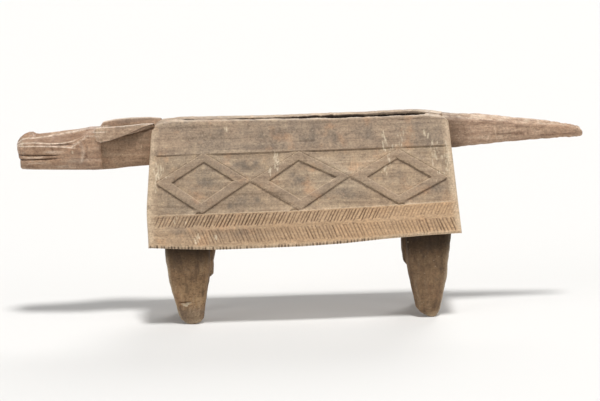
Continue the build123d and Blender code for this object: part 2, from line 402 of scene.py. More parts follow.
# %% Herringbone strokes
STROKE_PITCH = 7.2
STROKE_HALF = 2.1
STROKE_DEPTH = 2.7
UPPER_LEAN = 0.54
LOWER_LEAN = -0.42
LOWER_REACH = 34.0
NOTCH_HALF = 2.2
NOTCH_DEPTH = 3.4
LOWER_SHOWN = ((-262, 0.08), (-232, 0.4), (-190, 0.55), (-165, 0.35), (-108, 0.62), (110, 0.75),
               (170, 0.5), (215, 0.72), (318, 0.82), (326, 0.0))


def own_number(stroke, seed):
    """A random number from -1 to 1 for each stroke."""
    return lattice(stroke, stroke * 0 + seed, stroke * 0)


def stroke_row(x, z, start, lean, seed, bottom, top):
    """Depth of one row of V-shaped cuts between two heights."""
    place = (x - start - lean * (z - bottom)) / STROKE_PITCH
    deepest = np.zeros(np.shape(x))
    for step in (-1, 0, 1):
        number = np.round(place).astype(int) + step
        shift = 0.16 * own_number(number, seed)
        tilt = 0.010 * own_number(number, seed + 1) * (z - (bottom + top) / 2)
        gap = np.abs(place - number - shift - tilt) * STROKE_PITCH
        low = bottom + 1.5 + 2.0 * own_number(number, seed + 2)
        high = top - 1.2 + 1.0 * own_number(number, seed + 3)
        reach = smooth(z, low, low + 4.0) * (1 - smooth(z, high - 1.2, high))
        force = 0.78 + 0.22 * own_number(number, seed + 4)
        deepest = np.maximum(deepest, force * reach * peak(gap, STROKE_HALF))
    return STROKE_DEPTH * deepest


def flank_place(x, z, offset):
    """Places to ask the lumps about; another offset gives other lumps."""
    return np.stack([x, x * 0 + offset, z], axis=-1)


def herringbone(x, z, seed):
    """Depth of the herringbone cuts, with the wear that softened them."""
    middle = herring_middle(x)
    upper = stroke_row(x, z, -310.0, UPPER_LEAN, seed, middle, herring_top(x) - 1.0)
    upper *= 1 - 0.55 * smooth(x, 120, 175)
    upper *= smooth(x, -311, -303)
    patchy = 0.86 + 0.3 * lumps(flank_place(x, z, 0.0), 60.0, seed)
    lowest = np.maximum(foot_line(x) + 2.0, middle - LOWER_REACH)
    lower = stroke_row(x, z, -306.0, LOWER_LEAN, seed + 9, lowest, middle - 2.0)
    return np.clip(patchy, 0.4, 1.1) * (upper + lower * along(x, *LOWER_SHOWN))


def edge_notches(x, z, seed):
    """Small nicks that the lower cuts leave in the flank's bottom edge."""
    number = np.round(x / STROKE_PITCH).astype(int)
    gap = np.abs(x / STROKE_PITCH - number - 0.2 * own_number(number, seed)) * STROKE_PITCH
    nick = peak(gap, NOTCH_HALF) * (0.6 + 0.4 * own_number(number, seed + 1))
    near_foot = 1 - smooth(z - foot_line(x), 1.5, 7.0)
    return NOTCH_DEPTH * nick * near_foot * (1 - 0.8 * smooth(x, 110, 180))


print("cuts in a row:", int((REAR_X - FRONT_X) / STROKE_PITCH))

# %% [markdown]
# ## The flank's surface
# Heights above the plain leaning face come from one function, which the flank, the lip and the
# chain all ask, so they meet without a gap. The panel behind the lozenges is cut back, and
# what stays proud is the top band, the herringbone and a narrow strip at both ends.

# %% Height of the carved surface
CORNER_ROUND = 9.0
FOOT_ROUND = 4.0
LEDGE_GROOVE_DEPTH = 1.5
FLANK_SEEDS = {-1: 3, 1: 40}


def rounding(distance, radius):
    """How far a rounded edge falls back, at a distance from the edge."""
    short = np.clip(radius - distance, 0.0, radius)
    return radius - np.sqrt(np.maximum(radius**2 - short**2, 0.0))


def end_distance(x, z):
    """Distance to the nearer end of the sound box."""
    return np.minimum(x - front_end(z), rear_end(z) - x)


def flank_wave(x, z, side):
    """The gentle unevenness under all the carving of a flank."""
    seed = FLANK_SEEDS[side]
    place = flank_place(x, z, 30.0 * seed)
    wave = rough(place, (95.0, 1.3), (26.0, 0.35), seed)
    return wave + 0.18 * lumps(place * np.array([0.35, 1.0, 1.0]), 6.0, seed + 2)


def face_height(x, z, side):
    """Height of the carved flank above the panel's face, and the depth of its cuts, which also sets
    the painted shade in them.
    """
    in_panel = smooth(z, herring_top(x) - 0.3, herring_top(x) + 0.9)
    in_panel = in_panel * (1 - smooth(z, ledge_line(x) - 0.05, ledge_line(x) + 0.05))
    off_front = smooth(x, PANEL_FRONT_X, PANEL_FRONT_X + PANEL_SLOPE)
    off_rear = smooth(-x, -PANEL_REAR_X, PANEL_SLOPE - PANEL_REAR_X)
    cut_back = in_panel * (off_front * off_rear) * (1 - 0.85 * soft_shoulder(x, z))
    proud = PANEL_DEPTH * (1 - cut_back)
    seed = FLANK_SEEDS[side]
    cut_and_shade = herringbone(x, z, seed) * (1 - in_panel) + edge_notches(x, z, seed)
    # The groove under the ledge is also painted dark, as the shadow under the top band.
    groove = peak(z - ledge_line(x) + 1.3, 1.4) * smooth(x, -302, -296)
    cut_and_shade = cut_and_shade + LEDGE_GROOVE_DEPTH * groove
    fall = rounding(end_distance(x, z), CORNER_ROUND)
    fall = fall + rounding(z - foot_line(x), FOOT_ROUND)
    return flank_wave(x, z, side) + proud - cut_and_shade - fall, cut_and_shade


def on_flank(x, z, height):
    """Points on the left flank's face, moved out along its normal."""
    out, rise = FLANK_RISE[1], FLANK_RISE[0]
    return np.stack([x, -(half_width(z) + height * out), z + height * rise], axis=-1)


# %% [markdown]
# ## Stains and chips
# Smoke, hands and knocks have left grey clouds and little white chips. We list the biggest one
# by one, as soft ovals and short upright dashes, and all pieces of the sound box ask the same
# functions, so a stain can run across a joint.

# %% Stains and chips
STAINS = (
    (-203, 304, 34, 24, 0.75), (-112, 263, 48, 15, 0.85), (-118, 338, 42, 16, 0.8),
    (-166, 404, 9, 6, 1.0), (-60, 392, 34, 22, 0.7), (-8, 304, 17, 26, 0.9),
    (40, 390, 60, 26, 0.8), (86, 346, 11, 8, 1.0), (92, 272, 40, 14, 0.7),
    (150, 396, 52, 20, 0.65), (205, 304, 26, 18, 0.6), (282, 280, 26, 14, 0.6),
    (-150, 255, 7, 5, 1.0), (-248, 206, 40, 12, 0.5), (-130, 200, 50, 10, 0.5),
    (-255, 262, 26, 12, 0.55), (250, 405, 30, 14, 0.5), (-70, 372, 60, 8, 0.7),
    (20, 255, 10, 7, 0.5),
)
CHIPS = (
    (-302, 320, 5, 24, 24), (-290, 326, 8, 12, 10), (-48, 342, 6, 17, 16), (-62, 318, 4, 8, 4),
    (-152, 408, 3, 6, 3), (178, 374, 5, 20, 12), (186, 345, 5, 15, 6), (212, 378, 6, 13, 8),
    (283, 352, 11, 26, 20), (307, 336, 6, 28, 18), (264, 386, 8, 8, 4), (178, 312, 5, 10, 4),
    (-221, 190, 7, 8, 8), (-178, 192, 4, 4, 3), (-255, 226, 26, 9, 3),
)
FAR_STAIN_SHIFT = 23.0
CHIP_REACH = 12.0             # further from a chip than this, nothing shows


def scratch(x, z, start, stop, width):
    """How near each point is to a scratched line: 1 on it, 0 beyond its width."""
    dx, dz = stop[0] - start[0], stop[1] - start[1]
    share = np.clip(((x - start[0]) * dx + (z - start[1]) * dz) / (dx * dx + dz * dz), 0, 1)
    gap = np.hypot(x - start[0] - share * dx, z - start[1] - share * dz)
    return peak(gap, width)


def stain(x, z, side):
    """Grey clouds on the sound box, from 0 to 1."""
    place = flank_place(x, z, 30.0 * side)
    shift = 0.0 if side < 0 else FAR_STAIN_SHIFT
    shake = 0.8 + 0.8 * lumps(place, 12.0, 81) + 0.45 * lumps(place, 4.5, 82)
    total = np.zeros(np.shape(x))
    for at_x, at_z, wide, tall, force in STAINS:
        gap = ((x - at_x - shift) / wide)**2 + ((z - at_z) / tall)**2
        total = np.maximum(total, force * np.exp(-gap**1.2))
    return np.clip(total * shake, 0, 1)


def chips(x, z, side):
    """Short upright white dashes, from 0 to 1."""
    chance = np.random.RandomState(7 if side < 0 else 8)
    total = np.zeros(np.shape(x))
    for at_x, at_z, wide, tall, count in CHIPS:
        for _ in range(count):
            from_x, from_z = chance.normal(at_x, wide * 0.6), chance.normal(at_z, tall * 0.6)
            length, lean = chance.uniform(2, 10), chance.uniform(-0.2, 0.35)
            width, force = chance.uniform(1.0, 2.1), chance.uniform(0.45, 1.0)
            if side > 0:
                from_x = -from_x
            near = np.abs(x - from_x) < CHIP_REACH
            dash = scratch(x, z, (from_x, from_z), (from_x - lean * length, from_z + length), width)
            total = np.maximum(total, force * dash * near)
    return total


print("stains", len(STAINS), "chip clusters", len(CHIPS))

# %% [markdown]
# ## Flanks
# A flank is a leaning board with a plain back. Its points lie on rows that follow the scored
# lines, closest together where the herringbone is cut.

# %% Build the flanks
FLANK_COLUMNS = 500
HERRING_ROWS = 62
PANEL_ROWS = 52


def flank_stations(count):
    """Shares of the way from front to rear, closer together at the rounded ends."""
    even = np.linspace(0, 1, count)
    near_end = np.array([0.0, 0.0008, 0.002, 0.004, 0.0065, 0.0095, 0.013])
    middle = even[(even > 0.0145) & (even < 0.9855)]
    return np.concatenate([near_end, middle, 1 - near_end[::-1]])


def build_flank(side_name, side):
    """One leaning wall of the sound box, carved outside."""
    share = flank_stations(FLANK_COLUMNS)[:, None]
    foot_rows = np.concatenate([[0, 0.01, 0.03], np.linspace(0.055, 0.985, HERRING_ROWS)])
    panel_rows = np.concatenate([[0, 0.004, 0.008, 0.013], np.linspace(0.03, 1.0, PANEL_ROWS)])
    x_guess = between_ends(share, 300.0)
    foot, top, ledge = foot_line(x_guess), herring_top(x_guess), ledge_line(x_guess)
    low_z = foot + (top - 0.4 - foot) * foot_rows
    z = np.concatenate([low_z, top - 0.3 + (ledge - top + 0.3) * panel_rows], axis=1)
    x = between_ends(share, z)
    height, cut_and_shade = face_height(x, z, side)
    outer = on_flank(x, z, height)
    back_z = np.concatenate([ledge, (ledge + foot) / 2, foot + 1.0], axis=1)
    back = np.stack([between_ends(share, back_z), -(half_width(back_z) - WALL), back_z], axis=-1)
    rings = np.concatenate([outer, back], axis=1)
    blank = np.zeros(back.shape[:2])
    # The ends and the foot are pale from wear; the next line adds a painted highlight along the
    # upper edge of the herringbone, where its ledge faces up to the light.
    wear_and_highlight = np.maximum(1.2 - end_distance(x, z) / 15.0, 1 - (z - foot) / 9.0)
    painted_ledge_highlight = 0.6 * (1 - np.abs(z - top - 0.4) / 1.6)
    herring = (1 - smooth(z, top - 2, top + 2)) * along(x, (-300, 0.3), (-100, 0.5), (300, 1.0))
    # Painted shadow: a dark line under the lower edges of the lozenge bands, as light from above
    # would cast it.
    painted_band_shadow = 0.62 * shadow_below_band(x, z, 5.0) * (z > top + 1)
    marks = {
        "cut_and_shade": np.clip(np.maximum(cut_and_shade / 1.6, painted_band_shadow), 0, 1),
        "wear_and_highlight": np.clip(np.maximum(wear_and_highlight, painted_ledge_highlight), 0, 1),
        "herring": herring,
        "stain": stain(x, z, side),
        "chalk_and_glint": chips(x, z, side),
    }
    marks = {mark: np.concatenate([values, blank], axis=1) for mark, values in marks.items()}
    return skin(f"{side_name}_flank", mirrored(rings, side), marks)


for side_name, side in SIDES:
    build_flank(side_name, side)

# %% [markdown]
# ## Lozenge chains
# The lozenges were never added: the carver cut the panel back around them and left the bands
# standing. We lay a fine grid over the bands, keep only its cells on and just around them, and
# let the grid's rim dive under the panel. The edge we see is then where two smooth surfaces
# cross, sharp and slightly wavy like a chiselled one.

# %% Build the lozenge chains
CHAIN_STEP = 1.25
CHAIN_RIM = 2.2
CHAIN_SUNK = 1.8
CHAIN_BACK = 4.0


def patch(name, keep, top, back, marks):
    """A closed mesh over the kept cells of a grid, with a back surface behind it."""
    rows, columns = keep.shape
    number = np.arange((rows + 1) * (columns + 1)).reshape(rows + 1, columns + 1)
    cells = np.stack([number[:-1, :-1], number[:-1, 1:], number[1:, 1:], number[1:, :-1]], axis=-1)
    cells = cells[keep]
    count = number.size
    sides = {}
    for cell in cells.tolist():
        for a, b in zip(cell, cell[1:] + cell[:1]):
            if (b, a) in sides:
                del sides[(b, a)]
            else:
                sides[(a, b)] = True
    walls = [[b, a, a + count, b + count] for a, b in sides]
    faces = cells.tolist() + (cells[:, ::-1] + count).tolist() + walls
    points = np.concatenate([top.reshape(-1, 3), back.reshape(-1, 3)]) * MM
    used = np.unique(np.array(faces))
    place = np.zeros(len(points), int)
    place[used] = np.arange(len(used))
    mesh = bpy.data.meshes.new(name)
    mesh.from_pydata(points[used].tolist(), [], place[np.array(faces)].tolist())
    mesh.update()
    for mark, values in marks.items():
        both = np.concatenate([values.reshape(-1), values.reshape(-1) * 0])[used]
        mesh.attributes.new(mark, "FLOAT", "POINT").data.foreach_set("value", both)
    return dress(name, mesh)


def build_chain(side_name, side):
    """The raised chain of three lozenges on one flank."""
    x, z = np.meshgrid(np.arange(-309, 313, CHAIN_STEP), np.arange(237, 367, CHAIN_STEP))
    wander = 0.5 * lumps(flank_place(x, z, side * 90.0), 22.0, 5)
    inside = band_depth(x, z) + wander
    edge = smooth(inside, -0.8, 0.7)
    crown = 0.35 * smooth(inside, 0.5, 7.0)
    height = flank_wave(x, z, side) - CHAIN_SUNK + (PANEL_DEPTH + CHAIN_SUNK) * edge + crown
    height = height - rounding(end_distance(x, z), CORNER_ROUND)
    # Painted light on the bands' rims: a painted highlight on their upper edges and a painted
    # shadow along their lower edges.
    upper_edge = 1 - smooth(band_depth(x, z + 4.0), -1.0, 1.5)
    near = inside > -CHAIN_RIM
    keep = near[:-1, :-1] & near[1:, :-1] & near[:-1, 1:] & near[1:, 1:]
    top = mirrored(on_flank(x, z, height), side)
    back = mirrored(on_flank(x, z, height * 0 - CHAIN_BACK), side)
    marks = {
        "wear_and_highlight": 0.55 * peak(inside - 0.8, 1.3) * upper_edge,
        "cut_and_shade": 0.62 * (1 - smooth(inside, -1.0, 0.5)) * (1 - upper_edge),
        "band": smooth(inside, 0.0, 1.5),
        "stain": 0.7 * stain(x, z, side),
        "chalk_and_glint": chips(x, z, side),
    }
    return patch(f"{side_name}_lozenge_chain", keep, top, back, marks)


for side_name, side in SIDES:
    build_chain(side_name, side)

# %% [markdown]
# ## Lips and slit
# The lips carry the slit, which starts as a hair line near the neck and opens towards the tail.
# It was chopped through from above with a narrow blade, so its walls are ragged, while the
# rims are beaten round from years of playing. Past both ends of the slit the lips meet.

# %% Build the lips
LIP_ROUND = 4.5
SLIT_DEEP_Z = 400.0
LIP_END_ROUND = 12.0
RIM_TURN = (20, 42, 65, 90)   # degrees round the rim, one for each line of points
LIP_COLUMNS = 420
LIP_ROWS = 26
LIP_FLAT_ROWS = 7
FIRST_WALL_ROW = len(RIM_TURN) + LIP_FLAT_ROWS
NEAR_LIP_TOP = ((-310, 416), (-300, 421), (-288, 425.5), (-272, 427.5), (-180, 427),
                (-80, 425.4), (0, 424.2), (100, 423.6), (210, 425.2), (270, 424.5), (312, 419))
FAR_LIP_TOP = ((-310, 416), (-300, 420.5), (-288, 424.5), (-256, 428), (-182, 426.8), (-82, 425),
               (0, 425.5), (104, 426.2), (213, 428.6), (250, 428.6), (280, 425), (312, 419))
SLIT_HALF = ((-263, 0), (-255, 1.2), (-200, 2.2), (-150, 4.5), (-122, 8.0), (-90, 10.0),
             (0, 10.5), (90, 12.5), (200, 13), (248, 11.5), (262, 8), (269, 0))
DRYING_CRACKS = (((163, 423), (184, 417.5), 1.3, 1.0), ((207, 417.5), (262, 421.5), 1.2, 1.0),
                 ((-60, 379), (30, 381), 0.9, 0.6))
CRACK_DEPTH = 1.2


def lip_top(x, side):
    """Height of a lip's top along the drum; the far lip stands a little higher at the tail."""
    return along(x, *(NEAR_LIP_TOP if side < 0 else FAR_LIP_TOP))


def slit_half(x):
    """Half width of the slit along the drum."""
    return along(x, *SLIT_HALF)


def build_lip(side_name, side):
    """The thick edge on one side of the slit, with the plain top band outside."""
    seed = 60 if side < 0 else 70
    share = flank_stations(LIP_COLUMNS)[:, None]
    middle_x = between_ends(share, SLIT_DEEP_Z)
    ledge = ledge_line(middle_x)
    ragged_place = np.concatenate([middle_x, middle_x * 0 + 50.0 * seed, middle_x * 0], axis=1)
    ragged = rough(ragged_place, (16.0, 1.1), (6.0, 0.8), seed)
    ragged = (ragged + 1.6 * lumps(ragged_place, 60.0, seed + 2))[:, None]
    top = lip_top(middle_x, side) + 0.5 * ragged
    opening = slit_half(middle_x)
    inner = np.maximum(opening + ragged * smooth(opening, 0.3, 5.0), 0.0)
    # Outer face, from the ledge up to the rounded rim.
    rise = np.concatenate([[0, 0.012, 0.03], np.linspace(0.06, 1.0, LIP_ROWS)])
    z = ledge + (top - LIP_ROUND - ledge) * rise
    x = between_ends(share, z)
    height, _ = face_height(x, np.maximum(z, ledge_line(x) + 0.1), side)
    crack = np.zeros(x.shape)
    for start, stop, width, force in DRYING_CRACKS:
        crack = np.maximum(crack, force * scratch(x, z, start, stop, width))
    height = height - CRACK_DEPTH * crack
    outer = on_flank(x, z, height)
    # Rim, top and ragged slit wall.
    start_y, start_z = -outer[:, -1:, 1], outer[:, -1:, 2]
    turn_angle = np.radians(RIM_TURN)
    rim_y = start_y - LIP_ROUND * (1 - np.cos(turn_angle))
    rim_z = start_z + LIP_ROUND * np.sin(turn_angle)
    flat = np.linspace(0.12, 0.92, LIP_FLAT_ROWS)
    flat_y = rim_y[:, -1:] + (inner - rim_y[:, -1:]) * flat
    hew_place = np.stack([middle_x + flat * 0, flat_y * side, flat_y * 0], axis=-1)
    flat_z = rim_z[:, -1:] + rough(hew_place, (22.0, 0.7), (7.0, 0.45), seed + 4)
    closed = 1 - smooth(opening, 0.0, 4.0)
    worn_in = 2.2 * (1 - closed) * smooth(flat, 0.45, 1.0)
    torn = rough(ragged_place, (9.0, 1.2), (4.0, 0.9), seed + 5)
    torn = np.clip(torn, -0.2, 1.6)[:, None]
    flat_z = flat_z - worn_in - torn * (1 - closed) * smooth(flat, 0.5, 0.95)
    wall_y = np.concatenate([inner, inner, inner + 0.4 * (1 - closed)], axis=1)
    wall_z = np.concatenate([flat_z[:, -1:] - 1.6 * (1 - closed), flat_z[:, -1:] - 5.0,
                             flat_z[:, -1:] * 0 + SLIT_DEEP_Z], axis=1)
    inside_y = np.concatenate([rim_y, flat_y, wall_y, half_width(ledge) - WALL], axis=1)
    inside_z = np.concatenate([rim_z, flat_z, wall_z, ledge], axis=1)
    inside_x = between_ends(share, inside_z)
    fall = rounding(end_distance(inside_x, inside_z), LIP_END_ROUND)
    inside_z = inside_z - 0.9 * fall * smooth(inside_z, 405, 420)
    inside = np.stack([inside_x, -inside_y, inside_z], axis=-1)
    rings = np.concatenate([outer, inside], axis=1)
    blank = np.zeros(inside_y.shape)
    rim_wear = blank.copy()
    rim_wear[:, 2:FIRST_WALL_ROW - 1] = 0.35 + 0.35 * ragged
    # Painted shade: the slit's top edge and walls are made near black, as the shadow inside the
    # chamber. The drying cracks are painted dark too.
    deep = blank.copy()
    deep[:, FIRST_WALL_ROW - 1] = 0.6 * (1 - closed[:, 0])
    deep[:, FIRST_WALL_ROW:] = smooth(opening, 0.2, 1.5)
    deep[:, FIRST_WALL_ROW] *= 0.95 - 0.55 * smooth(middle_x[:, 0], 120, 180)
    wear_and_highlight = np.clip(1.2 - end_distance(x, z) / 15.0, 0, 1)
    marks = {
        "cut_and_shade": (crack, blank),
        "deep": (0 * x, deep),
        "wear_and_highlight": (wear_and_highlight, np.clip(rim_wear, 0, 1)),
        "stain": (stain(x, z, side), 0.4 * stain(inside_x, inside_z, side)),
        "chalk_and_glint": (chips(x, z, side), blank),
    }
    marks = {mark: np.concatenate(parts, axis=1) for mark, parts in marks.items()}
    return skin(f"{side_name}_lip", mirrored(rings, side), marks)


for side_name, side in SIDES:
    build_lip(side_name, side)

# %% [markdown]
# ## End blocks and belly
# These close the chamber. We see the end blocks as the drum's two end faces, and the belly only
# from underneath, where the adze left its scoops.

# %% Build the end blocks and the belly
BELLY_LOW_Z = belly_low[2]
BELLY_TOP_Z = belly_high[2]
BLOCK_TOP_HALF = 10.0


def build_block(name, start, stop):
    """Solid wood between two places, where each place is a function of height."""
    side_z = np.linspace(BELLY_TOP_Z, LEDGE_Z, 14)
    side_y = half_width(side_z) - WALL
    half_z = np.concatenate([side_z, [SLIT_DEEP_Z]])
    half_y = np.concatenate([side_y, [BLOCK_TOP_HALF]])
    y = np.concatenate([-half_y, half_y[::-1]])
    z = np.concatenate([half_z, half_z[::-1]])
    share = np.linspace(0, 1, 12)[:, None]
    x = start(z) + share * (stop(z) - start(z))
    rings = np.stack([x, y + 0 * x, z + 0 * x], axis=-1)
    return skin(name, rings)


build_block("front_end_block", front_end, lambda z: front_block_high[0] + z * 0)
build_block("rear_end_block", rear_end, lambda z: rear_block_low[0] + z * 0)

belly_y = np.linspace(-1, 1, 60)
belly_share = np.linspace(0, 1, 200)[:, None]
under_half = half_width(BELLY_LOW_Z) - WALL
over_half = half_width(BELLY_TOP_Z) - WALL
over_y = np.linspace(1, -1, 7)
belly_ring_y = np.concatenate([belly_y * under_half, over_y * over_half])
belly_ring_z = np.concatenate([belly_y * 0 + BELLY_LOW_Z, over_y * 0 + BELLY_TOP_Z])
belly_x = between_ends(belly_share, belly_ring_z)
belly_rings = np.stack([belly_x, belly_ring_y + 0 * belly_x, belly_ring_z + 0 * belly_x], axis=-1)
scoops = facets(belly_rings * np.array([0.6, 1.0, 1.0]), 26.0, 5.0, 4)
inside_edge = smooth(under_half - np.abs(belly_rings[..., 1]), 0.0, 8.0)
belly_rings[..., 2] -= scoops * inside_edge * (belly_rings[..., 2] < BELLY_LOW_Z + 1)
skin("belly", belly_rings)

# %% [markdown]
# ## Legs
# Each leg swells from a small sole to a thick root, with flats where the adze ran down it. A
# ring of a rounded square at each height gives the body, and the scoops of the adze are
# pressed into it. The front legs lean a little, and one has an old cut across its shin.

# %% Build the legs
LEG_OUTLINES = {
    "front": (((0, -247), (3, -254), (11, -261.5), (35, -271), (61, -278), (90, -284),
               (135, -289), (196, -293)),
              ((0, -228), (3, -221.5), (11, -215), (26, -211), (48, -207.5), (76, -203),
               (101, -200), (133, -196), (196, -195))),
    "rear": (((0, 262), (4, 254), (8, 247), (13, 241), (21, 236), (35, 233), (74, 225), (105, 219),
              (121, 217), (196, 217)),
             ((0, 276), (3, 279), (17, 286), (40, 292.5), (81, 300), (113, 305), (147, 310),
              (196, 314))),
}
LEG_TOP_Z = BELLY_LOW_Z + 1.0
LEG_ROWS = 110
LEG_POINTS = 120
LEG_SQUARENESS = 2.9
SOLE_HALF = 12.0
OLD_CUT_Z = 49.5
OLD_CUT_X = -250
FAR_FRONT_BULGE = 7.0
FAR_REAR_BULGE = 5.0


def build_leg(end, side_name, side):
    """One leg, from its flat sole up into the belly."""
    name = f"{end}_{side_name}_leg"
    low, high = corners(name)
    centre_y = (low[1] + high[1]) / 2
    top_half = (high[1] - low[1]) / 2
    z = np.concatenate([[0, 1.2, 3, 6], np.linspace(10, LEG_TOP_Z, LEG_ROWS)])[:, None]
    angle = np.linspace(0, 2 * math.pi, LEG_POINTS, endpoint=False)[None, :]
    left, right = (along(z, *places) for places in LEG_OUTLINES[end])
    if side > 0 and end == "front":
        right = right + FAR_FRONT_BULGE * smooth(z, 74, 80)
    if side > 0 and end == "rear":
        left = left - FAR_REAR_BULGE * smooth(z, 86, 100)
    grown = (z / LEG_TOP_Z)**0.42
    half_y = SOLE_HALF + (top_half - SOLE_HALF) * grown
    middle_x = (left + right) / 2
    over, out = rounded_square(angle, LEG_SQUARENESS)
    x = middle_x + (right - left) / 2 * over
    rings = np.stack([x, half_y * out + centre_y, z + 0 * x], axis=-1)
    seed = 5 + 2 * (side > 0) + 4 * (end == "rear")
    scoop = facets(rings * np.array([1.0, 1.0, 0.45]), 17.0, 4.6, seed)
    scoop = scoop + rough(rings, (30.0, 0.8), (6.0, 0.22), seed)
    cut_and_shade = np.zeros(x.shape)
    chip = np.zeros(x.shape)
    if end == "front" and side < 0:
        slope_z = rings[..., 2] - 0.06 * (rings[..., 0] + 260)
        at_x = rings[..., 0]
        reach = smooth(at_x, -266, -262) * (1 - smooth(at_x, -241, -236))
        reach = reach * (rings[..., 1] < centre_y)
        cut_and_shade = peak(slope_z - OLD_CUT_Z, 1.8) * reach
        below = OLD_CUT_Z - 2.0 - slope_z
        chip = (np.abs(at_x - OLD_CUT_X) < 12 - 1.4 * below) * (below > 0) * (below < 8)
        chip = chip * reach
    middle = np.stack([middle_x + 0 * x, centre_y + 0 * x, rings[..., 2]], axis=-1)
    from_middle = rings - middle
    outward = from_middle / np.maximum(np.linalg.norm(from_middle, axis=-1, keepdims=True), 1e-6)
    sink = smooth(z, 0.5, 9.0)
    push = (-scoop - 3.0 * cut_and_shade - 1.6 * chip) * sink
    rings = rings + outward * push[..., None]
    # The outer side edge of each leg gets a painted highlight, as a side lamp lights it; the sole
    # is pale from wear, and the old cut is painted dark.
    sideways = (rings[..., 0] - middle_x) / (right - left) * 2
    outer_edge = smooth(-sideways if end == "front" else sideways, 0.78, 0.98)
    marks = {
        "cut_and_shade": cut_and_shade,
        "chalk_and_glint": 0.6 * chip,
        "wear_and_highlight": np.maximum(0.5 * (1 - smooth(z, 3, 16)) + 0 * x, 0.7 * outer_edge),
        # Painted shade: darker towards the top under the sound box and near black at the very top,
        # as its shadow; the rear legs are also painted darker all over.
        "painted_shade": np.maximum(smooth(rings[..., 2], 100, 160), 0.75 * (end == "rear")),
        "deep": 0.8 * smooth(rings[..., 2], 114, 170),
        "stain": 0.6 * (1 - smooth(rings[..., 2], 26, 46)) * (end == "front"),
    }
    return skin(name, rings, marks)


for end in LEG_OUTLINES:
    for side_name, side in SIDES:
        build_leg(end, side_name, side)

# %% [markdown]
# ## Tail
# The tail was roughed out with the adze and left so: a low roof above, flat flanks, and a
# blunt tip with a broken corner. Ten lines run from root to tip, and scoops roughen it.

# %% Build the tail
TAIL_TOP = ((305, 424.5), (340, 422), (380, 419.5), (467, 408.5), (535, 399.5), (597, 387))
TAIL_ARRIS = ((305, 418), (340, 414.5), (380, 410.5), (467, 401), (535, 392.5), (597, 383))
TAIL_LOW = ((305, 352), (330, 353.5), (402, 358.5), (482, 363.3), (597, 367.3))
TAIL_STATIONS = 214
TAIL_TIP_X = (594.5, 596.2, 597.2)
TAIL_TIP_SIZE = (0.95, 0.84, 0.6)
BROKEN_DEPTH = 5.0
TAIL_SCOOP_DEPTH = 3.6
TAIL_HALF = ((305, 34), (340, 31), (380, 27), (467, 20), (535, 15), (597, 9))


def build_tail():
    """The long faceted tail."""
    x = np.concatenate([np.linspace(REAR_X - 12, 592, TAIL_STATIONS), TAIL_TIP_X])[:, None]
    lines = (TAIL_TOP, TAIL_ARRIS, TAIL_LOW, TAIL_HALF)
    top, arris, low, half = (along(x, *line) for line in lines)
    key_y = np.concatenate([-0.30 * half, -0.92 * half, -half, -0.96 * half, -0.62 * half,
                            0.62 * half, 0.96 * half, half, 0.92 * half, 0.30 * half], axis=1)
    side_high, side_low = arris - 4, low + 9
    key_z = np.concatenate([top, arris, side_high, side_low, low,
                            low, side_low, side_high, arris, top], axis=1)
    ring = filled_ring(np.stack([key_y, key_z], axis=-1), 10, 2)
    rings = np.concatenate([x[:, :, None] + 0 * ring[..., :1], ring], axis=-1)
    centre = np.stack([x[:, 0], 0 * x[:, 0], ((top + low) / 2)[:, 0]], axis=-1)[:, None]
    arm = rings - centre
    outward = arm / np.linalg.norm(arm, axis=-1, keepdims=True)
    scoop = facets(rings * np.array([0.62, 1.0, 1.0]), 15.0, TAIL_SCOOP_DEPTH, 9)
    scales = facets(rings * np.array([1.0, 0.8, 0.8]), 7.0, 2.2, 12)
    scales = scales * smooth(rings[..., 0], 500, 560)
    push = -(scoop + scales) + rough(rings, (28.0, 0.6), (5.0, 0.2), 14)
    blunt = np.concatenate([np.ones(TAIL_STATIONS), TAIL_TIP_SIZE])[:, None]
    rings = rings + outward * (push * smooth(-x, -598, -590))[..., None]
    rings = centre + (rings - centre) * blunt[..., None]
    broken = smooth(rings[..., 0], 585, 597) * smooth(rings[..., 2], 376, 384)
    rings[..., 0] -= BROKEN_DEPTH * broken
    pale = scratch(rings[..., 0], rings[..., 2], (414, 372), (410, 396), 2.0)
    # Painted highlight: the roof and the top arris are pale, patchy with the scoops, as light from
    # above falls on them.
    high_edge = smooth(rings[..., 2] - arris, -2.0, 2.5)
    marks = {
        "wear_and_highlight": np.clip(2.6 * np.abs(scoop) / TAIL_SCOOP_DEPTH - 0.75 + 0.7 * high_edge, 0, 1),
        "scaly": 0.5 * smooth(rings[..., 0], 500, 560) * (1 - smooth(rings[..., 0], 575, 590)),
        "chalk_and_glint": 0.28 * pale,
        # Painted shadow: the root is darker where the sound box shades it.
        "painted_shade": 1 - smooth(rings[..., 0], 318, 372),
    }
    return skin("tail", rings, marks)


build_tail()

# %% [markdown]
# ## Neck
# The neck is a plain thick bar, set in from the cheeks and the flaring box. Its top is a shallow
# trough between the ears and climbs with their points to the box. One drying crack runs along
# its near side.

# %% Build the neck
CHEEK_X = head_high[0]
NECK_POINTS = 150
NECK_SQUARENESS = 5.2
NECK_MIDDLE_Z = 370.0


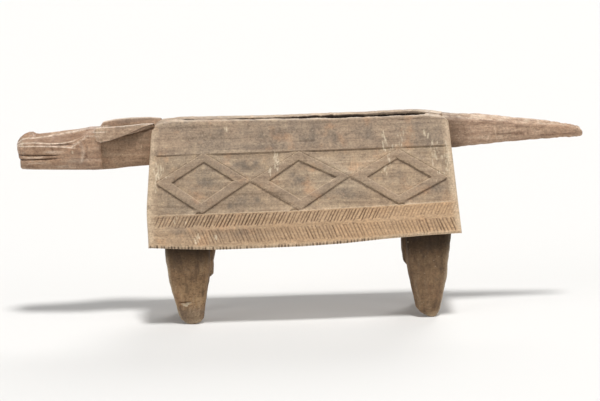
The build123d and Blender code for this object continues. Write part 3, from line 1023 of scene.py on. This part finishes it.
def build_neck():
    """The thick bar between the head and the sound box."""
    x = np.linspace(CHEEK_X - 14, FRONT_X + 8, 150)[:, None]
    low = along(x, (-430, 328.5), (-396, 329.5), (-360, 332.5), (-317, 335), (-300, 335.5))
    high = along(x, (-436, 408), (-400, 408), (-353, 411), (-331, 418), (-307, 424), (-290, 424))
    half = along(x, (-436, 37), (-400, 35.5), (-340, 36.5), (-300, 39))
    angle = np.linspace(0, 2 * math.pi, NECK_POINTS, endpoint=False)[None, :]
    out, up = rounded_square(angle, NECK_SQUARENESS)
    y = half * out
    z = (high + low) / 2 + (high - low) / 2 * up
    trough = (1 - np.clip(np.abs(y) / half, 0, 1)**2) * (high - 406) * smooth(z, 380, 400)
    rings = np.stack([x + 0 * y, y, z - trough], axis=-1)
    crack = scratch(rings[..., 0], rings[..., 2], (-362, 364.5), (-336, 365.5), 1.2)
    crack = crack * (rings[..., 1] < 0)
    push = rough(rings, (40.0, 0.9), (9.0, 0.3), 21) - 1.2 * crack
    push = push - facets(rings * np.array([0.6, 1.0, 1.0]), 20.0, 3.0, 22)
    sideways = smooth(np.abs(y), 12, 28)
    rings[..., 1] += np.sign(y) * push * sideways
    rings[..., 2] += push * (1 - sideways) * np.sign(z - NECK_MIDDLE_Z)
    # Painted shade: the top of the neck under the ears and its end by the cheeks are darker. The
    # crack is painted dark too.
    under_ear = smooth(rings[..., 2], 372, 398)
    by_cheek = 0.45 * (1 - smooth(rings[..., 0], -414, -396))
    return skin("neck", rings, {"cut_and_shade": crack, "painted_shade": np.maximum(0.75 * under_ear, by_cheek)})


build_neck()

# %% [markdown]
# ## Head and lower jaw
# The muzzle has a narrow roof, a long hollow on each side of it, and a double ridge under the
# hollow with the shut eye between. Two grooves make the mouth. We describe half of the outline
# by a few lines that run from the nose to the cheek, then fill in between them. The lower
# groove is also where the jaw is a piece of its own.

# %% Lines of the head
NOSE_X = head_low[0] + 3.0
HEAD_BACK_X = CHEEK_X + 8.0
MUZZLE_PLAN = ((-597, 0), (-595.5, 7), (-592, 13), (-586, 19), (-575, 25), (-558, 29.5),
               (-527, 34), (-494, 37.5), (-460, 40.5), (-440, 43), (-430, 43.5), (-424, 42.6),
               (-420, 40.8), (-417, 38.5), (-415, 36))
CROWN_LINE = ((-597, 385), (-594, 393), (-589, 400), (-580, 407), (-570, 410.8), (-561, 411.2),
              (-556, 408), (-548, 406.5), (-515, 409.5), (-478, 413), (-440, 416), (-418, 417))
BROW_LINE = ((-597, 385), (-592, 391), (-584, 397), (-572, 399.5), (-560, 399), (-530, 402.5),
             (-495, 407.5), (-462, 412.5), (-441, 415.8), (-418, 416))
RIDGE_LINE = ((-597, 384), (-584, 389.5), (-562, 391.5), (-527, 389), (-500, 389.5), (-478, 393),
              (-460, 399), (-442, 407), (-418, 412))
LID_LINE = ((-597, 383.5), (-562, 387.6), (-527, 386.4), (-500, 386), (-475, 386.5), (-455, 391),
            (-418, 400))
LOWER_RIDGE_LINE = ((-597, 383), (-562, 384.5), (-527, 384), (-496, 382.5), (-474, 380), (-455, 384),
                 (-418, 392))
EYE_DEPTH = ((-597, 0), (-563, 0.3), (-525, 0.6), (-505, 1.0), (-480, 1.1), (-470, 0.1), (-418, 0))


def nose_share(count):
    """Shares of the way from the nose to the cheeks, closest together round the nose."""
    even = np.linspace(0, 1, count)
    return 0.35 * even**2.2 + 0.65 * even


def narrowed(inward=0.0, factor=1.0):
    """The plan of the muzzle, moved in by a few millimetres or made narrower."""
    return [(x, max(factor * width - inward, 0)) for x, width in MUZZLE_PLAN]


def head_lines(share):
    """The lines of half of the head, from the roof down to the throat."""
    def line(set_back, heights, widths):
        start_x = NOSE_X + set_back
        x = start_x + share * (HEAD_BACK_X - start_x)
        return np.stack([x, along(x, *widths), along(x, *heights)], axis=-1)

    middle = ((-600, 0), (-400, 0))
    groove_plan = [(x, max(w - (4.2 if x < -510 else 0.5), 0)) for x, w in MUZZLE_PLAN]
    hollow_line = [(x, z + 2.2) for x, z in RIDGE_LINE]
    lines = [
        line(0, CROWN_LINE, middle),
        line(0, BROW_LINE, narrowed(factor=0.36)),
        line(0, hollow_line, narrowed(factor=0.80)),
        line(0, RIDGE_LINE, narrowed(3.2)),
        line(0, LID_LINE, narrowed(3.4)),
        line(0.5, LOWER_RIDGE_LINE, MUZZLE_PLAN),
        line(0.5, ((-600, 375), (-418, 376)), narrowed(-0.8)),
        line(2.5, ((-600, 366.8), (-418, 368)), MUZZLE_PLAN),
        line(7, ((-600, 364.4), (-512, 364.4), (-418, 364.5)), groove_plan),
        line(4, ((-600, 361.6), (-512, 362.3), (-418, 362)), narrowed(0.6)),
        line(4, ((-600, 357.2), (-556, 358.2), (-512, 359.6), (-418, 360)), narrowed(0.6)),
        line(7, ((-600, 354.0), (-556, 355.7), (-512, 357.8), (-418, 358)), groove_plan),
        line(7, ((-600, 351), (-556, 353), (-512, 355.8), (-418, 356)), narrowed(0.8)),
        line(7, ((-600, 345), (-418, 346)), narrowed(0.2)),
        line(7, ((-600, 337.5), (-418, 336.5)), narrowed(2.2)),
        line(10, ((-600, 333.5), (-535, 333), (-418, 331)), narrowed(8.0)),
        line(10, ((-600, 333), (-535, 332.5), (-418, 330.5)), middle),
    ]
    sink = along(lines[4][..., 0], *EYE_DEPTH)
    lines[4][..., 1] = lines[5][..., 1] - 4.4 * sink - 0.4
    return lines, sink[:, None]


def near_line(z, line, width):
    """1 on a line of the head and 0 beyond a width, all along the head."""
    return peak(z - line[:, 2:3], width)


# %% Build the head and the jaw
HEAD_STATIONS = 190
STEPS_BETWEEN_LINES = (14, 14, 8, 3, 4, 7, 6, 3, 3, 4, 3, 3, 4, 5, 5, 10)
JAW_LINE = 11
JAW_MIDDLE_Z = 350.0
CREASE_HALF = 6.0


def build_head():
    """The head above the lower groove, and the jaw below it."""
    lines, sink = head_lines(nose_share(HEAD_STATIONS))
    split = sum(STEPS_BETWEEN_LINES[:JAW_LINE])
    filled = []
    for first, second, count in zip(lines, lines[1:], STEPS_BETWEEN_LINES):
        part = np.linspace(0, 1, count, endpoint=False)[:, None, None]
        filled.append(first[None] * (1 - part) + second[None] * part)
    half = np.concatenate(filled + [lines[-1][None]]).transpose(1, 0, 2)
    half[:, 1:-1] = (half[:, :-2] + 2 * half[:, 1:-1] + half[:, 2:]) / 4
    x, y, z = half[..., 0], half[..., 1], half[..., 2]
    hollow = smooth(z, lines[3][:, 2:3] + 0.5, lines[3][:, 2:3] + 4)
    hollow = hollow * (1 - smooth(z, lines[1][:, 2:3] - 4, lines[1][:, 2:3] - 0.5))
    hollow = hollow * smooth(x, -582, -562) * (1 - smooth(x, -462, -444))
    mouth = np.maximum(near_line(z, lines[8], 2.0), near_line(z, lines[JAW_LINE], 2.0))
    mouth = mouth * (1 - smooth(x, -516, -506))
    crease_x = -449 - 0.012 * (z - 382)**2 + 0.28 * (382 - z)
    on_cheek = smooth(z, 344, 354) * (1 - smooth(z, 388, 398))
    crease = smooth(peak(x - crease_x, CREASE_HALF), 0, 1) * on_cheek
    fold = peak(x - crease_x + 7, CREASE_HALF) * on_cheek
    slot = near_line(z, lines[4], 1.9) * sink
    # Painted highlights on the two ridges, the eye ridge, the brow and the cheek fold.
    shine = np.maximum(near_line(z, lines[5], 1.7), near_line(z, lines[3], 1.9))
    shine = shine * (1 - smooth(x, -480, -462))
    eye_ridge = scratch(x, z, (-478, 382), (-461, 393), 3.0)
    eye_ridge = np.maximum(eye_ridge, scratch(x, z, (-461, 393), (-444, 405), 2.5))
    shine = np.maximum(shine, 0.75 * eye_ridge)
    shine = np.maximum(shine, 0.85 * near_line(z, lines[1], 1.6) * (1 - smooth(x, -470, -440)))
    shine = np.maximum(shine, 0.45 * fold)
    # Painted glints: two small white spots, one by the eye and one on the nose.
    painted_glint = peak(np.hypot(x + 477, (z - 371) * 0.6), 3.0)
    painted_glint = np.maximum(painted_glint, 0.8 * peak(np.hypot(x + 584, z - 388), 4.0))
    stained = np.exp(-(((x + 470) / 26)**2 + ((z - 352) / 9)**2))
    stained = np.maximum(stained, np.exp(-(((x + 588) / 9)**2 + ((z - 396) / 9)**2)))
    rosy = np.exp(-(((x + 456) / 16)**2 + ((z - 376) / 14)**2))
    place = half * np.array([1.0, -1.0, 1.0])
    y = y - 1.7 * crease + 1.3 * fold + 0.7 * lumps(place, 30.0, 31) * smooth(y, 4, 14)
    y = y + 1.2 * eye_ridge
    y = y - facets(place * np.array([0.5, 1.0, 1.0]), 13.0, 2.2, 33) * smooth(y, 6, 18)
    y = y + 0.25 * lumps(place, 5.0, 35) * smooth(y, 4, 14)
    z = z - 1.6 * hollow + 0.3 * lumps(place, 9.0, 36) * smooth(z, 396, 404)
    left = np.stack([x, -y, z], axis=-1)
    right = np.stack([x, y, z], axis=-1)[:, ::-1]
    count = half.shape[1]
    # Painted shade in the muzzle's hollow and towards the back of the head; the lower jaw is also
    # darker.
    painted_head_shade = np.maximum(0.4 * smooth(x, -446, -424), 0.35 * hollow)
    marks = {
        # Painted shade in the mouth grooves, the eye slot and the cheek crease.
        "cut_and_shade": np.maximum(np.maximum(mouth, slot), 0.12 * crease),
        "wear_and_highlight": shine,
        "red": np.maximum(hollow, 0.6 * rosy),
        "chalk_and_glint": 0.8 * painted_glint,
        "stain": 0.6 * stained,
        "painted_shade": np.maximum(painted_head_shade, 0.22 * (z < JAW_MIDDLE_Z)),
    }
    for name, start, stop in (("head", 0, split + 1), ("lower_jaw", split, count)):
        rings = np.concatenate([left[:, start:stop], right[:, count - stop:count - start]], axis=1)
        own_marks = {}
        for mark, values in marks.items():
            mirror_image = values[:, ::-1][:, count - stop:count - start]
            own_marks[mark] = np.concatenate([values[:, start:stop], mirror_image], axis=1)
        skin(name, rings, own_marks)


build_head()

# %% [markdown]
# ## Ears
# The ears are long leaves laid back along the neck, and their points reach the sound box. Each
# has a crest above, an outer face that turns under to a deep shadow, and a hollow inner face.
# A leaf is easy as rings along its length: we only say how its edges run. The shadow under the
# outer face and the light on the crest and the front fold are also painted in.

# %% Build the ears
EAR_STATIONS = 150
EAR_ENDS = {-1: (-434.0, -303.0), 1: (-424.0, -290.0)}
EAR_CREST = {
    -1: ((-434, 416), (-424, 422.0), (-400, 423.6), (-373, 424.6), (-330, 427.2), (-304, 426.5)),
    1: ((-434, 417), (-424, 422.5), (-400, 426), (-373, 428), (-330, 428.8), (-304, 427)),
}
EAR_LOW = ((-434, 402), (-425, 393), (-417, 390.3), (-396, 394.4), (-374, 401.4), (-353, 408.9),
           (-331, 417.4), (-304, 425.8))
EAR_FOLD = ((-434, 412), (-408, 413.5), (-374, 417.5), (-331, 423.5), (-304, 426.3))
EAR_OUT = ((-434, 41), (-424, 46), (-400, 51), (-373, 51), (-340, 46), (-304, 37))
EAR_THICK = ((-434, 12), (-400, 13), (-350, 10), (-304, 7))


def build_ear(side_name, side):
    """One leaf-shaped ear, from behind the brow to its point on the sound box."""
    root_x, tip_x = EAR_ENDS[side]
    share = np.linspace(0, 1, EAR_STATIONS)[:, None]
    x = root_x + share * (tip_x - root_x)
    reach = (x - root_x) / (tip_x - root_x) * 130 - 434
    crest_z = along(reach, *EAR_CREST[side])
    lines = (EAR_LOW, EAR_FOLD, EAR_OUT, EAR_THICK)
    low_z, fold_z, outer_y, thick = (along(reach, *line) for line in lines)
    inner_z = np.minimum(low_z, 404.0)
    edges = [
        (outer_y - thick, crest_z - 2.0),
        (outer_y - 0.5 * thick, crest_z),
        (outer_y - 0.18 * thick, crest_z - 0.8),
        (outer_y - 0.6, fold_z),
        (outer_y, (fold_z + low_z) / 2),
        (outer_y - 0.6, low_z + 1.2),
        (outer_y - 3.0, low_z),
        (outer_y - thick - 3.0, np.minimum(low_z + 3.0, 420.0)),
        (outer_y - thick - 6.0, inner_z),
        (outer_y - thick - 4.0, (inner_z + crest_z) / 2),
    ]
    edges = np.stack([np.concatenate([y, z], axis=1) for y, z in edges], axis=1)
    ring = filled_ring(edges, 8, 1)
    ring_x = x[:, :, None] + 0 * ring[..., :1]
    rings = np.concatenate([ring_x, -ring[..., :1], ring[..., 1:]], axis=-1)
    closing = np.sqrt(np.clip(np.minimum(share / 0.06, (1 - share) / 0.02), 0.05, 1))
    centre = rings.mean(axis=1, keepdims=True)
    rings = centre + (rings - centre) * closing[..., None]
    rings[..., 1] += rough(rings, (24.0, 0.8), (7.0, 0.3), 51 + side) * closing
    # Painted highlight along the crest and on the fold at the ear's front.
    from_crest = np.abs(rings[..., 2] - crest_z)
    from_fold = np.abs(rings[..., 2] - fold_z)
    bright_fold = (1 - from_fold / 1.8) * (1 - smooth(x, -412, -396))
    wear_and_highlight = np.maximum(0.7 - from_crest / 2.5, bright_fold)
    # Painted shadow under the lower edge of the outer face.
    under = 1 - smooth(rings[..., 2], low_z + 0.3, low_z + 2.5)
    facing_in = -rings[..., 1] < (outer_y - thick + 0.5)
    marks = {
        "wear_and_highlight": np.clip(wear_and_highlight, 0, 1),
        "cut_and_shade": 0.9 * under * smooth(x, -424, -408) * ~facing_in,
        "red": 0.8 * facing_in * (rings[..., 2] < crest_z - 2),
        "stain": 0.5 * smooth(rings[..., 2], fold_z - 1, fold_z + 2) * smooth(x, -400, -370),
    }
    return skin(f"{side_name}_ear", mirrored(rings, side), marks)


for side_name, side in SIDES:
    build_ear(side_name, side)

# %% [markdown]
# ## The finish of old wood
# Bare hardwood handled and smoked for decades is no single brown. Grey dust lies on it, ochre
# shows where it rubbed, worn edges go pale, and the grain runs along the log. Each of these is a
# layer of noise laid over the last one. Light and shade are painted in as well: cuts, cracks, the
# slit and the parts under overhangs get painted shade, and edges that face the light get painted
# highlights. Marks stored in the meshes say where the chisel cut, where hands wore the wood and
# where this light and shade is painted, so the colours follow the carving.

# %% Wood from nodes


def linear(red, green, blue):
    """A colour as seen on a screen, 0 to 255, as the shader wants it."""
    def channel(value):
        share = value / 255
        return share / 12.92 if share <= 0.04045 else ((share + 0.055) / 1.055)**2.4
    return channel(red), channel(green), channel(blue), 1.0


class Board:
    """A small helper that adds and links shader nodes."""

    def __init__(self, name):
        self.material = bpy.data.materials.new(name)
        self.material.use_nodes = True
        self.tree = self.material.node_tree
        self.tree.nodes.clear()

    def add(self, kind, inputs=None, **settings):
        node = self.tree.nodes.new(kind)
        for key, value in settings.items():
            setattr(node, key, value)
        for key, value in (inputs or {}).items():
            if isinstance(value, bpy.types.NodeSocket):
                self.tree.links.new(value, node.inputs[key])
            else:
                node.inputs[key].default_value = value
        return node

    def noise(self, place, scale, detail, roughness=0.55, stretch=(1, 1, 1)):
        """Noise in space, from 0 to 1, stretched along an axis where stretch is small."""
        moved = self.add("ShaderNodeMapping", {"Vector": place, "Scale": stretch})
        return self.add("ShaderNodeTexNoise", {
            "Vector": moved.outputs[0], "Scale": scale, "Detail": detail,
            "Roughness": roughness}).outputs["Fac"]

    def band(self, value, start, stop, low=0.0, high=1.0):
        """The value spread so that start gives low and stop gives high."""
        return self.add("ShaderNodeMapRange", {
            "Value": value, "From Min": start, "From Max": stop, "To Min": low,
            "To Max": high}, clamp=True).outputs[0]

    def mark(self, name):
        """A mark stored on the mesh by the carving code."""
        return self.add("ShaderNodeAttribute", attribute_name=name).outputs["Fac"]

    def times(self, first, second):
        return self.add("ShaderNodeMath", {0: first, 1: second}, operation="MULTIPLY").outputs[0]

    def plus(self, first, second):
        return self.add("ShaderNodeMath", {0: first, 1: second}, operation="ADD").outputs[0]

    def over(self, under, colour, amount):
        """A colour laid over another by an amount."""
        node = self.add("ShaderNodeMix", {"Factor": amount}, data_type="RGBA")
        for socket, value in ((node.inputs[6], under), (node.inputs[7], colour)):
            if isinstance(value, bpy.types.NodeSocket):
                self.tree.links.new(value, socket)
            else:
                socket.default_value = value
        return node.outputs[2]


OCHRE = (200, 162, 122)
ROSY = (148, 114, 90)
SMOKED = (140, 118, 100)
BARK = (172, 132, 102)
GREY_CLOUD = (104, 94, 84)
# Tone of the painted shade under the ears, at the tops of the legs, at the tail's root and in the
# head's hollow.
PAINTED_SHADE_TONE = (84, 64, 46)
# Painted shade in cuts, cracks and grooves, and painted shadow under the bands and the ears.
PAINTED_CUT_SHADE = (66, 43, 28)
# Near black painted shade inside the slit and at the tops of the legs.
PAINTED_DEEP_SHADE = (32, 22, 14)
DUST_FLAKE = (214, 194, 164)
# Pale chips and scratches, and the head's two painted glints.
CHALK_AND_GLINT = (228, 212, 184)


def old_wood(name, main, second, dusty, deep, edge, gloss=0.62, grain=0.5, along_leg=False,
             warm=(190, 148, 112)):
    """Old hardwood from six tones: two woods, dust, dark grain, pale edges for wear and painted
    highlights, and warm patches.
    """
    board = Board(name)
    place = board.add("ShaderNodeTexCoord").outputs["Object"]
    stretch = (0.04, 1, 1) if not along_leg else (0.7, 1, 0.09)
    clouds = board.noise(place, 11.0, 4, stretch=(0.7, 1, 1))
    streaks = board.noise(place, 110.0, 5, 0.62, stretch)
    pores = board.noise(place, 430.0, 3, 0.7, stretch=(0.25, 1, 0.7 if along_leg else 1))
    mottle = board.noise(place, 62.0, 6, 0.68)
    grit = board.noise(place, 230.0, 4, 0.72)
    warmth = board.noise(place, 24.0, 4, 0.6)
    flakes = board.band(board.noise(place, 150.0, 3, 0.6), 0.66, 0.74, 0.0, 0.45)
    patchy = board.band(mottle, 0.3, 0.6, 0.35, 1.0)

    def marked(name, strength):
        return board.times(board.mark(name), strength)

    layers = (
        (second, board.band(clouds, 0.40, 0.62)),
        (dusty, board.band(mottle, 0.50, 0.70, 0.0, 0.8)),
        (deep, board.band(mottle, 0.46, 0.30, 0.0, 0.65)),
        (deep, board.band(streaks, 0.50, 0.66, 0.0, grain)),
        (edge, board.band(streaks, 0.46, 0.32, 0.0, 0.35)),
        (warm, board.band(warmth, 0.56, 0.70, 0.0, 0.55)),
        (OCHRE, marked("herring", board.band(clouds, 0.3, 0.6, 0.5, 0.95))),
        (ROSY, marked("red", board.band(mottle, 0.3, 0.65, 0.2, 0.6))),
        (SMOKED, marked("band", board.band(mottle, 0.35, 0.65, 0.10, 0.50))),
        (BARK, marked("scaly", board.band(mottle, 0.42, 0.6))),
        (GREY_CLOUD, marked("stain", 0.72)),
        # Painted shade.
        (PAINTED_SHADE_TONE, marked("painted_shade", 0.62)),
        # Pale edges: wear, and painted highlights on edges that face the light.
        (edge, marked("wear_and_highlight", patchy)),
        (deep, board.band(pores, 0.54, 0.70, 0.0, 0.60)),
        # Painted shade in cuts and painted shadow under overhangs.
        (PAINTED_CUT_SHADE, marked("cut_and_shade", 0.85)),
        # Near black painted shade where the deep mark is set.
        (PAINTED_DEEP_SHADE, board.mark("deep")),
        (DUST_FLAKE, board.times(flakes, patchy)),
        (CHALK_AND_GLINT, marked("chalk_and_glint", 0.85)),
    )
    colour = linear(*main)
    for tone, amount in layers:
        colour = board.over(colour, linear(*tone), amount)
    shaded = board.band(grit, 0.3, 0.7, 0.70, 1.28)
    tone = board.add("ShaderNodeHueSaturation", {"Color": colour, "Value": shaded}).outputs[0]
    relief = board.plus(board.times(streaks, 0.6), board.times(pores, 0.5))
    relief = board.plus(relief, board.times(mottle, 0.6))
    bump = board.add("ShaderNodeBump", {"Height": relief, "Strength": 0.7, "Distance": 0.0016})
    roughness = board.band(mottle, 0.3, 0.7, gloss - 0.08, gloss + 0.14)
    polish = board.times(board.mark("wear_and_highlight"), -0.16)
    dull = board.times(board.mark("deep"), 0.4)
    shader = board.add("ShaderNodeBsdfPrincipled", {
        "Base Color": tone, "Roughness": board.plus(board.plus(roughness, polish), dull),
        "Normal": bump.outputs[0], "Specular IOR Level": 0.38})
    output = board.add("ShaderNodeOutputMaterial")
    board.tree.links.new(shader.outputs[0], output.inputs[0])
    return board.material


FINISHES = {
    "flank": old_wood("flank_finish", (174, 149, 122), (154, 135, 113), (186, 162, 132),
                      (112, 92, 72), (214, 190, 160)),
    "lip": old_wood("lip_finish", (168, 144, 120), (148, 130, 111), (180, 158, 132),
                    (106, 88, 72), (206, 182, 154)),
    "head": old_wood("head_finish", (182, 148, 121), (162, 130, 104), (196, 167, 139),
                     (112, 82, 60), (244, 224, 202), gloss=0.32, grain=0.45, warm=(182, 142, 114)),
    "ear": old_wood("ear_finish", (188, 160, 135), (170, 144, 120), (200, 176, 150),
                    (116, 88, 66), (244, 226, 204), gloss=0.4, grain=0.35, warm=(190, 156, 130)),
    "end": old_wood("end_finish", (164, 140, 115), (150, 128, 106), (174, 150, 124),
                    (122, 100, 80), (188, 164, 136), grain=0.25, warm=(160, 132, 106)),
    "neck": old_wood("neck_finish", (158, 128, 102), (142, 114, 88), (168, 142, 116),
                     (98, 74, 54), (200, 174, 146), grain=0.45, warm=(150, 112, 84)),
    "tail": old_wood("tail_finish", (186, 155, 130), (170, 140, 116), (198, 172, 148),
                     (110, 82, 62), (220, 198, 172), grain=0.7, warm=(182, 148, 120)),
    "leg": old_wood("leg_finish", (161, 129, 94), (136, 106, 75), (174, 145, 108),
                    (64, 46, 30), (194, 172, 142), grain=0.7, along_leg=True,
                    warm=(140, 104, 74)),
}
print("finishes:", ", ".join(FINISHES))

# %% [markdown]
# ## Every piece in its place
# Each carved piece stands for the CAD piece of the same name and rides on the drum's one body.
# How its name ends tells which finish it gets.

# %% Finishes and places
FINISH_OF_ENDING = {
    "_flank": "flank", "_chain": "flank", "_lip": "lip", "_block": "end", "belly": "end",
    "neck": "neck", "head": "head", "_jaw": "head", "_ear": "ear", "tail": "tail", "_leg": "leg",
}

for name, piece in pieces.items():
    kind = next(kind for ending, kind in FINISH_OF_ENDING.items() if name.endswith(ending))
    piece.data.materials.append(FINISHES[kind])
    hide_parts(name)
    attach(piece, "root")
    piece.name = f"carved_{name}"
print(len(pieces), "carved pieces")

# %% [markdown]
# ## Floor and light
# One wide pale floor is background enough, because the camera looks down on it. Lamps like a
# soft sun light it evenly to its far edge, which a lamp close by wouldn't. The main one stands
# high in front and rakes down over the bands, two weak ones low at the sides touch the edges of
# the legs, and one behind keeps the far flank readable.

# %% Floor
FLOOR_HALF = 30.0
PAPER_TONE = (0.70, 0.69, 0.67, 1.0)
PAPER_GLOW = 0.06


def paper_colour(board):
    """A matt pale paper, a little brighter to the camera so that it reads as white."""
    paper = board.add("ShaderNodeBsdfPrincipled", {
        "Base Color": PAPER_TONE, "Roughness": 0.9, "Specular IOR Level": 0.1})
    rays = board.add("ShaderNodeLightPath")
    seen = board.plus(rays.outputs["Is Camera Ray"], rays.outputs["Is Glossy Ray"])
    board.tree.links.new(board.times(seen, PAPER_GLOW), paper.inputs["Emission Strength"])
    paper.inputs["Emission Color"].default_value = (1.0, 1.0, 1.0, 1.0)
    return paper


def build_floor():
    """A wide flat floor under the drum."""
    half = FLOOR_HALF
    points = [(-half, -half, 0.0), (half, -half, 0.0), (half, half, 0.0), (-half, half, 0.0)]
    mesh = bpy.data.meshes.new("floor")
    mesh.from_pydata(points, [], [(0, 1, 2, 3)])
    floor = in_scene("floor", mesh)
    board = Board("floor_paper")
    output = board.add("ShaderNodeOutputMaterial")
    board.tree.links.new(paper_colour(board).outputs[0], output.inputs[0])
    mesh.materials.append(board.material)


build_floor()

# %% Lamps and surrounding light
SKY_LIGHT = 0.20              # how strongly the surroundings light the drum
SKY_SEEN = 0.95               # how bright they look behind it


def soft_sun(name, source, strength, spread):
    """A soft sun that shines from a direction, with its apparent size in degrees."""
    data = bpy.data.lights.new(name, "SUN")
    data.energy = strength
    data.angle = math.radians(spread)
    lamp = in_scene(name, data)
    lamp.matrix_world = (-Vector(source)).to_track_quat("-Z", "Y").to_matrix().to_4x4()


soft_sun("key_lamp", (0.3, -1.0, 2.95), 2.75, 9.0)
soft_sun("left_lamp", (-2.4, -1.3, 0.95), 0.5, 30.0)
soft_sun("right_lamp", (2.4, -1.3, 0.95), 0.42, 30.0)
soft_sun("back_lamp", (0.9, 2.6, 2.0), 1.15, 30.0)

world = bpy.data.worlds.new("surroundings")
bpy.context.scene.world = world
world.use_nodes = True
sky = world.node_tree
rays = sky.nodes.new("ShaderNodeLightPath")
seen = sky.nodes.new("ShaderNodeMath")
seen.operation = "MAXIMUM"
sky.links.new(rays.outputs["Is Camera Ray"], seen.inputs[0])
sky.links.new(rays.outputs["Is Glossy Ray"], seen.inputs[1])
level = sky.nodes.new("ShaderNodeMapRange")
level.inputs["To Min"].default_value = SKY_LIGHT
level.inputs["To Max"].default_value = SKY_SEEN
sky.links.new(seen.outputs[0], level.inputs["Value"])
sky.nodes["Background"].inputs["Color"].default_value = (0.97, 0.98, 1.0, 1.0)
sky.links.new(level.outputs[0], sky.nodes["Background"].inputs["Strength"])
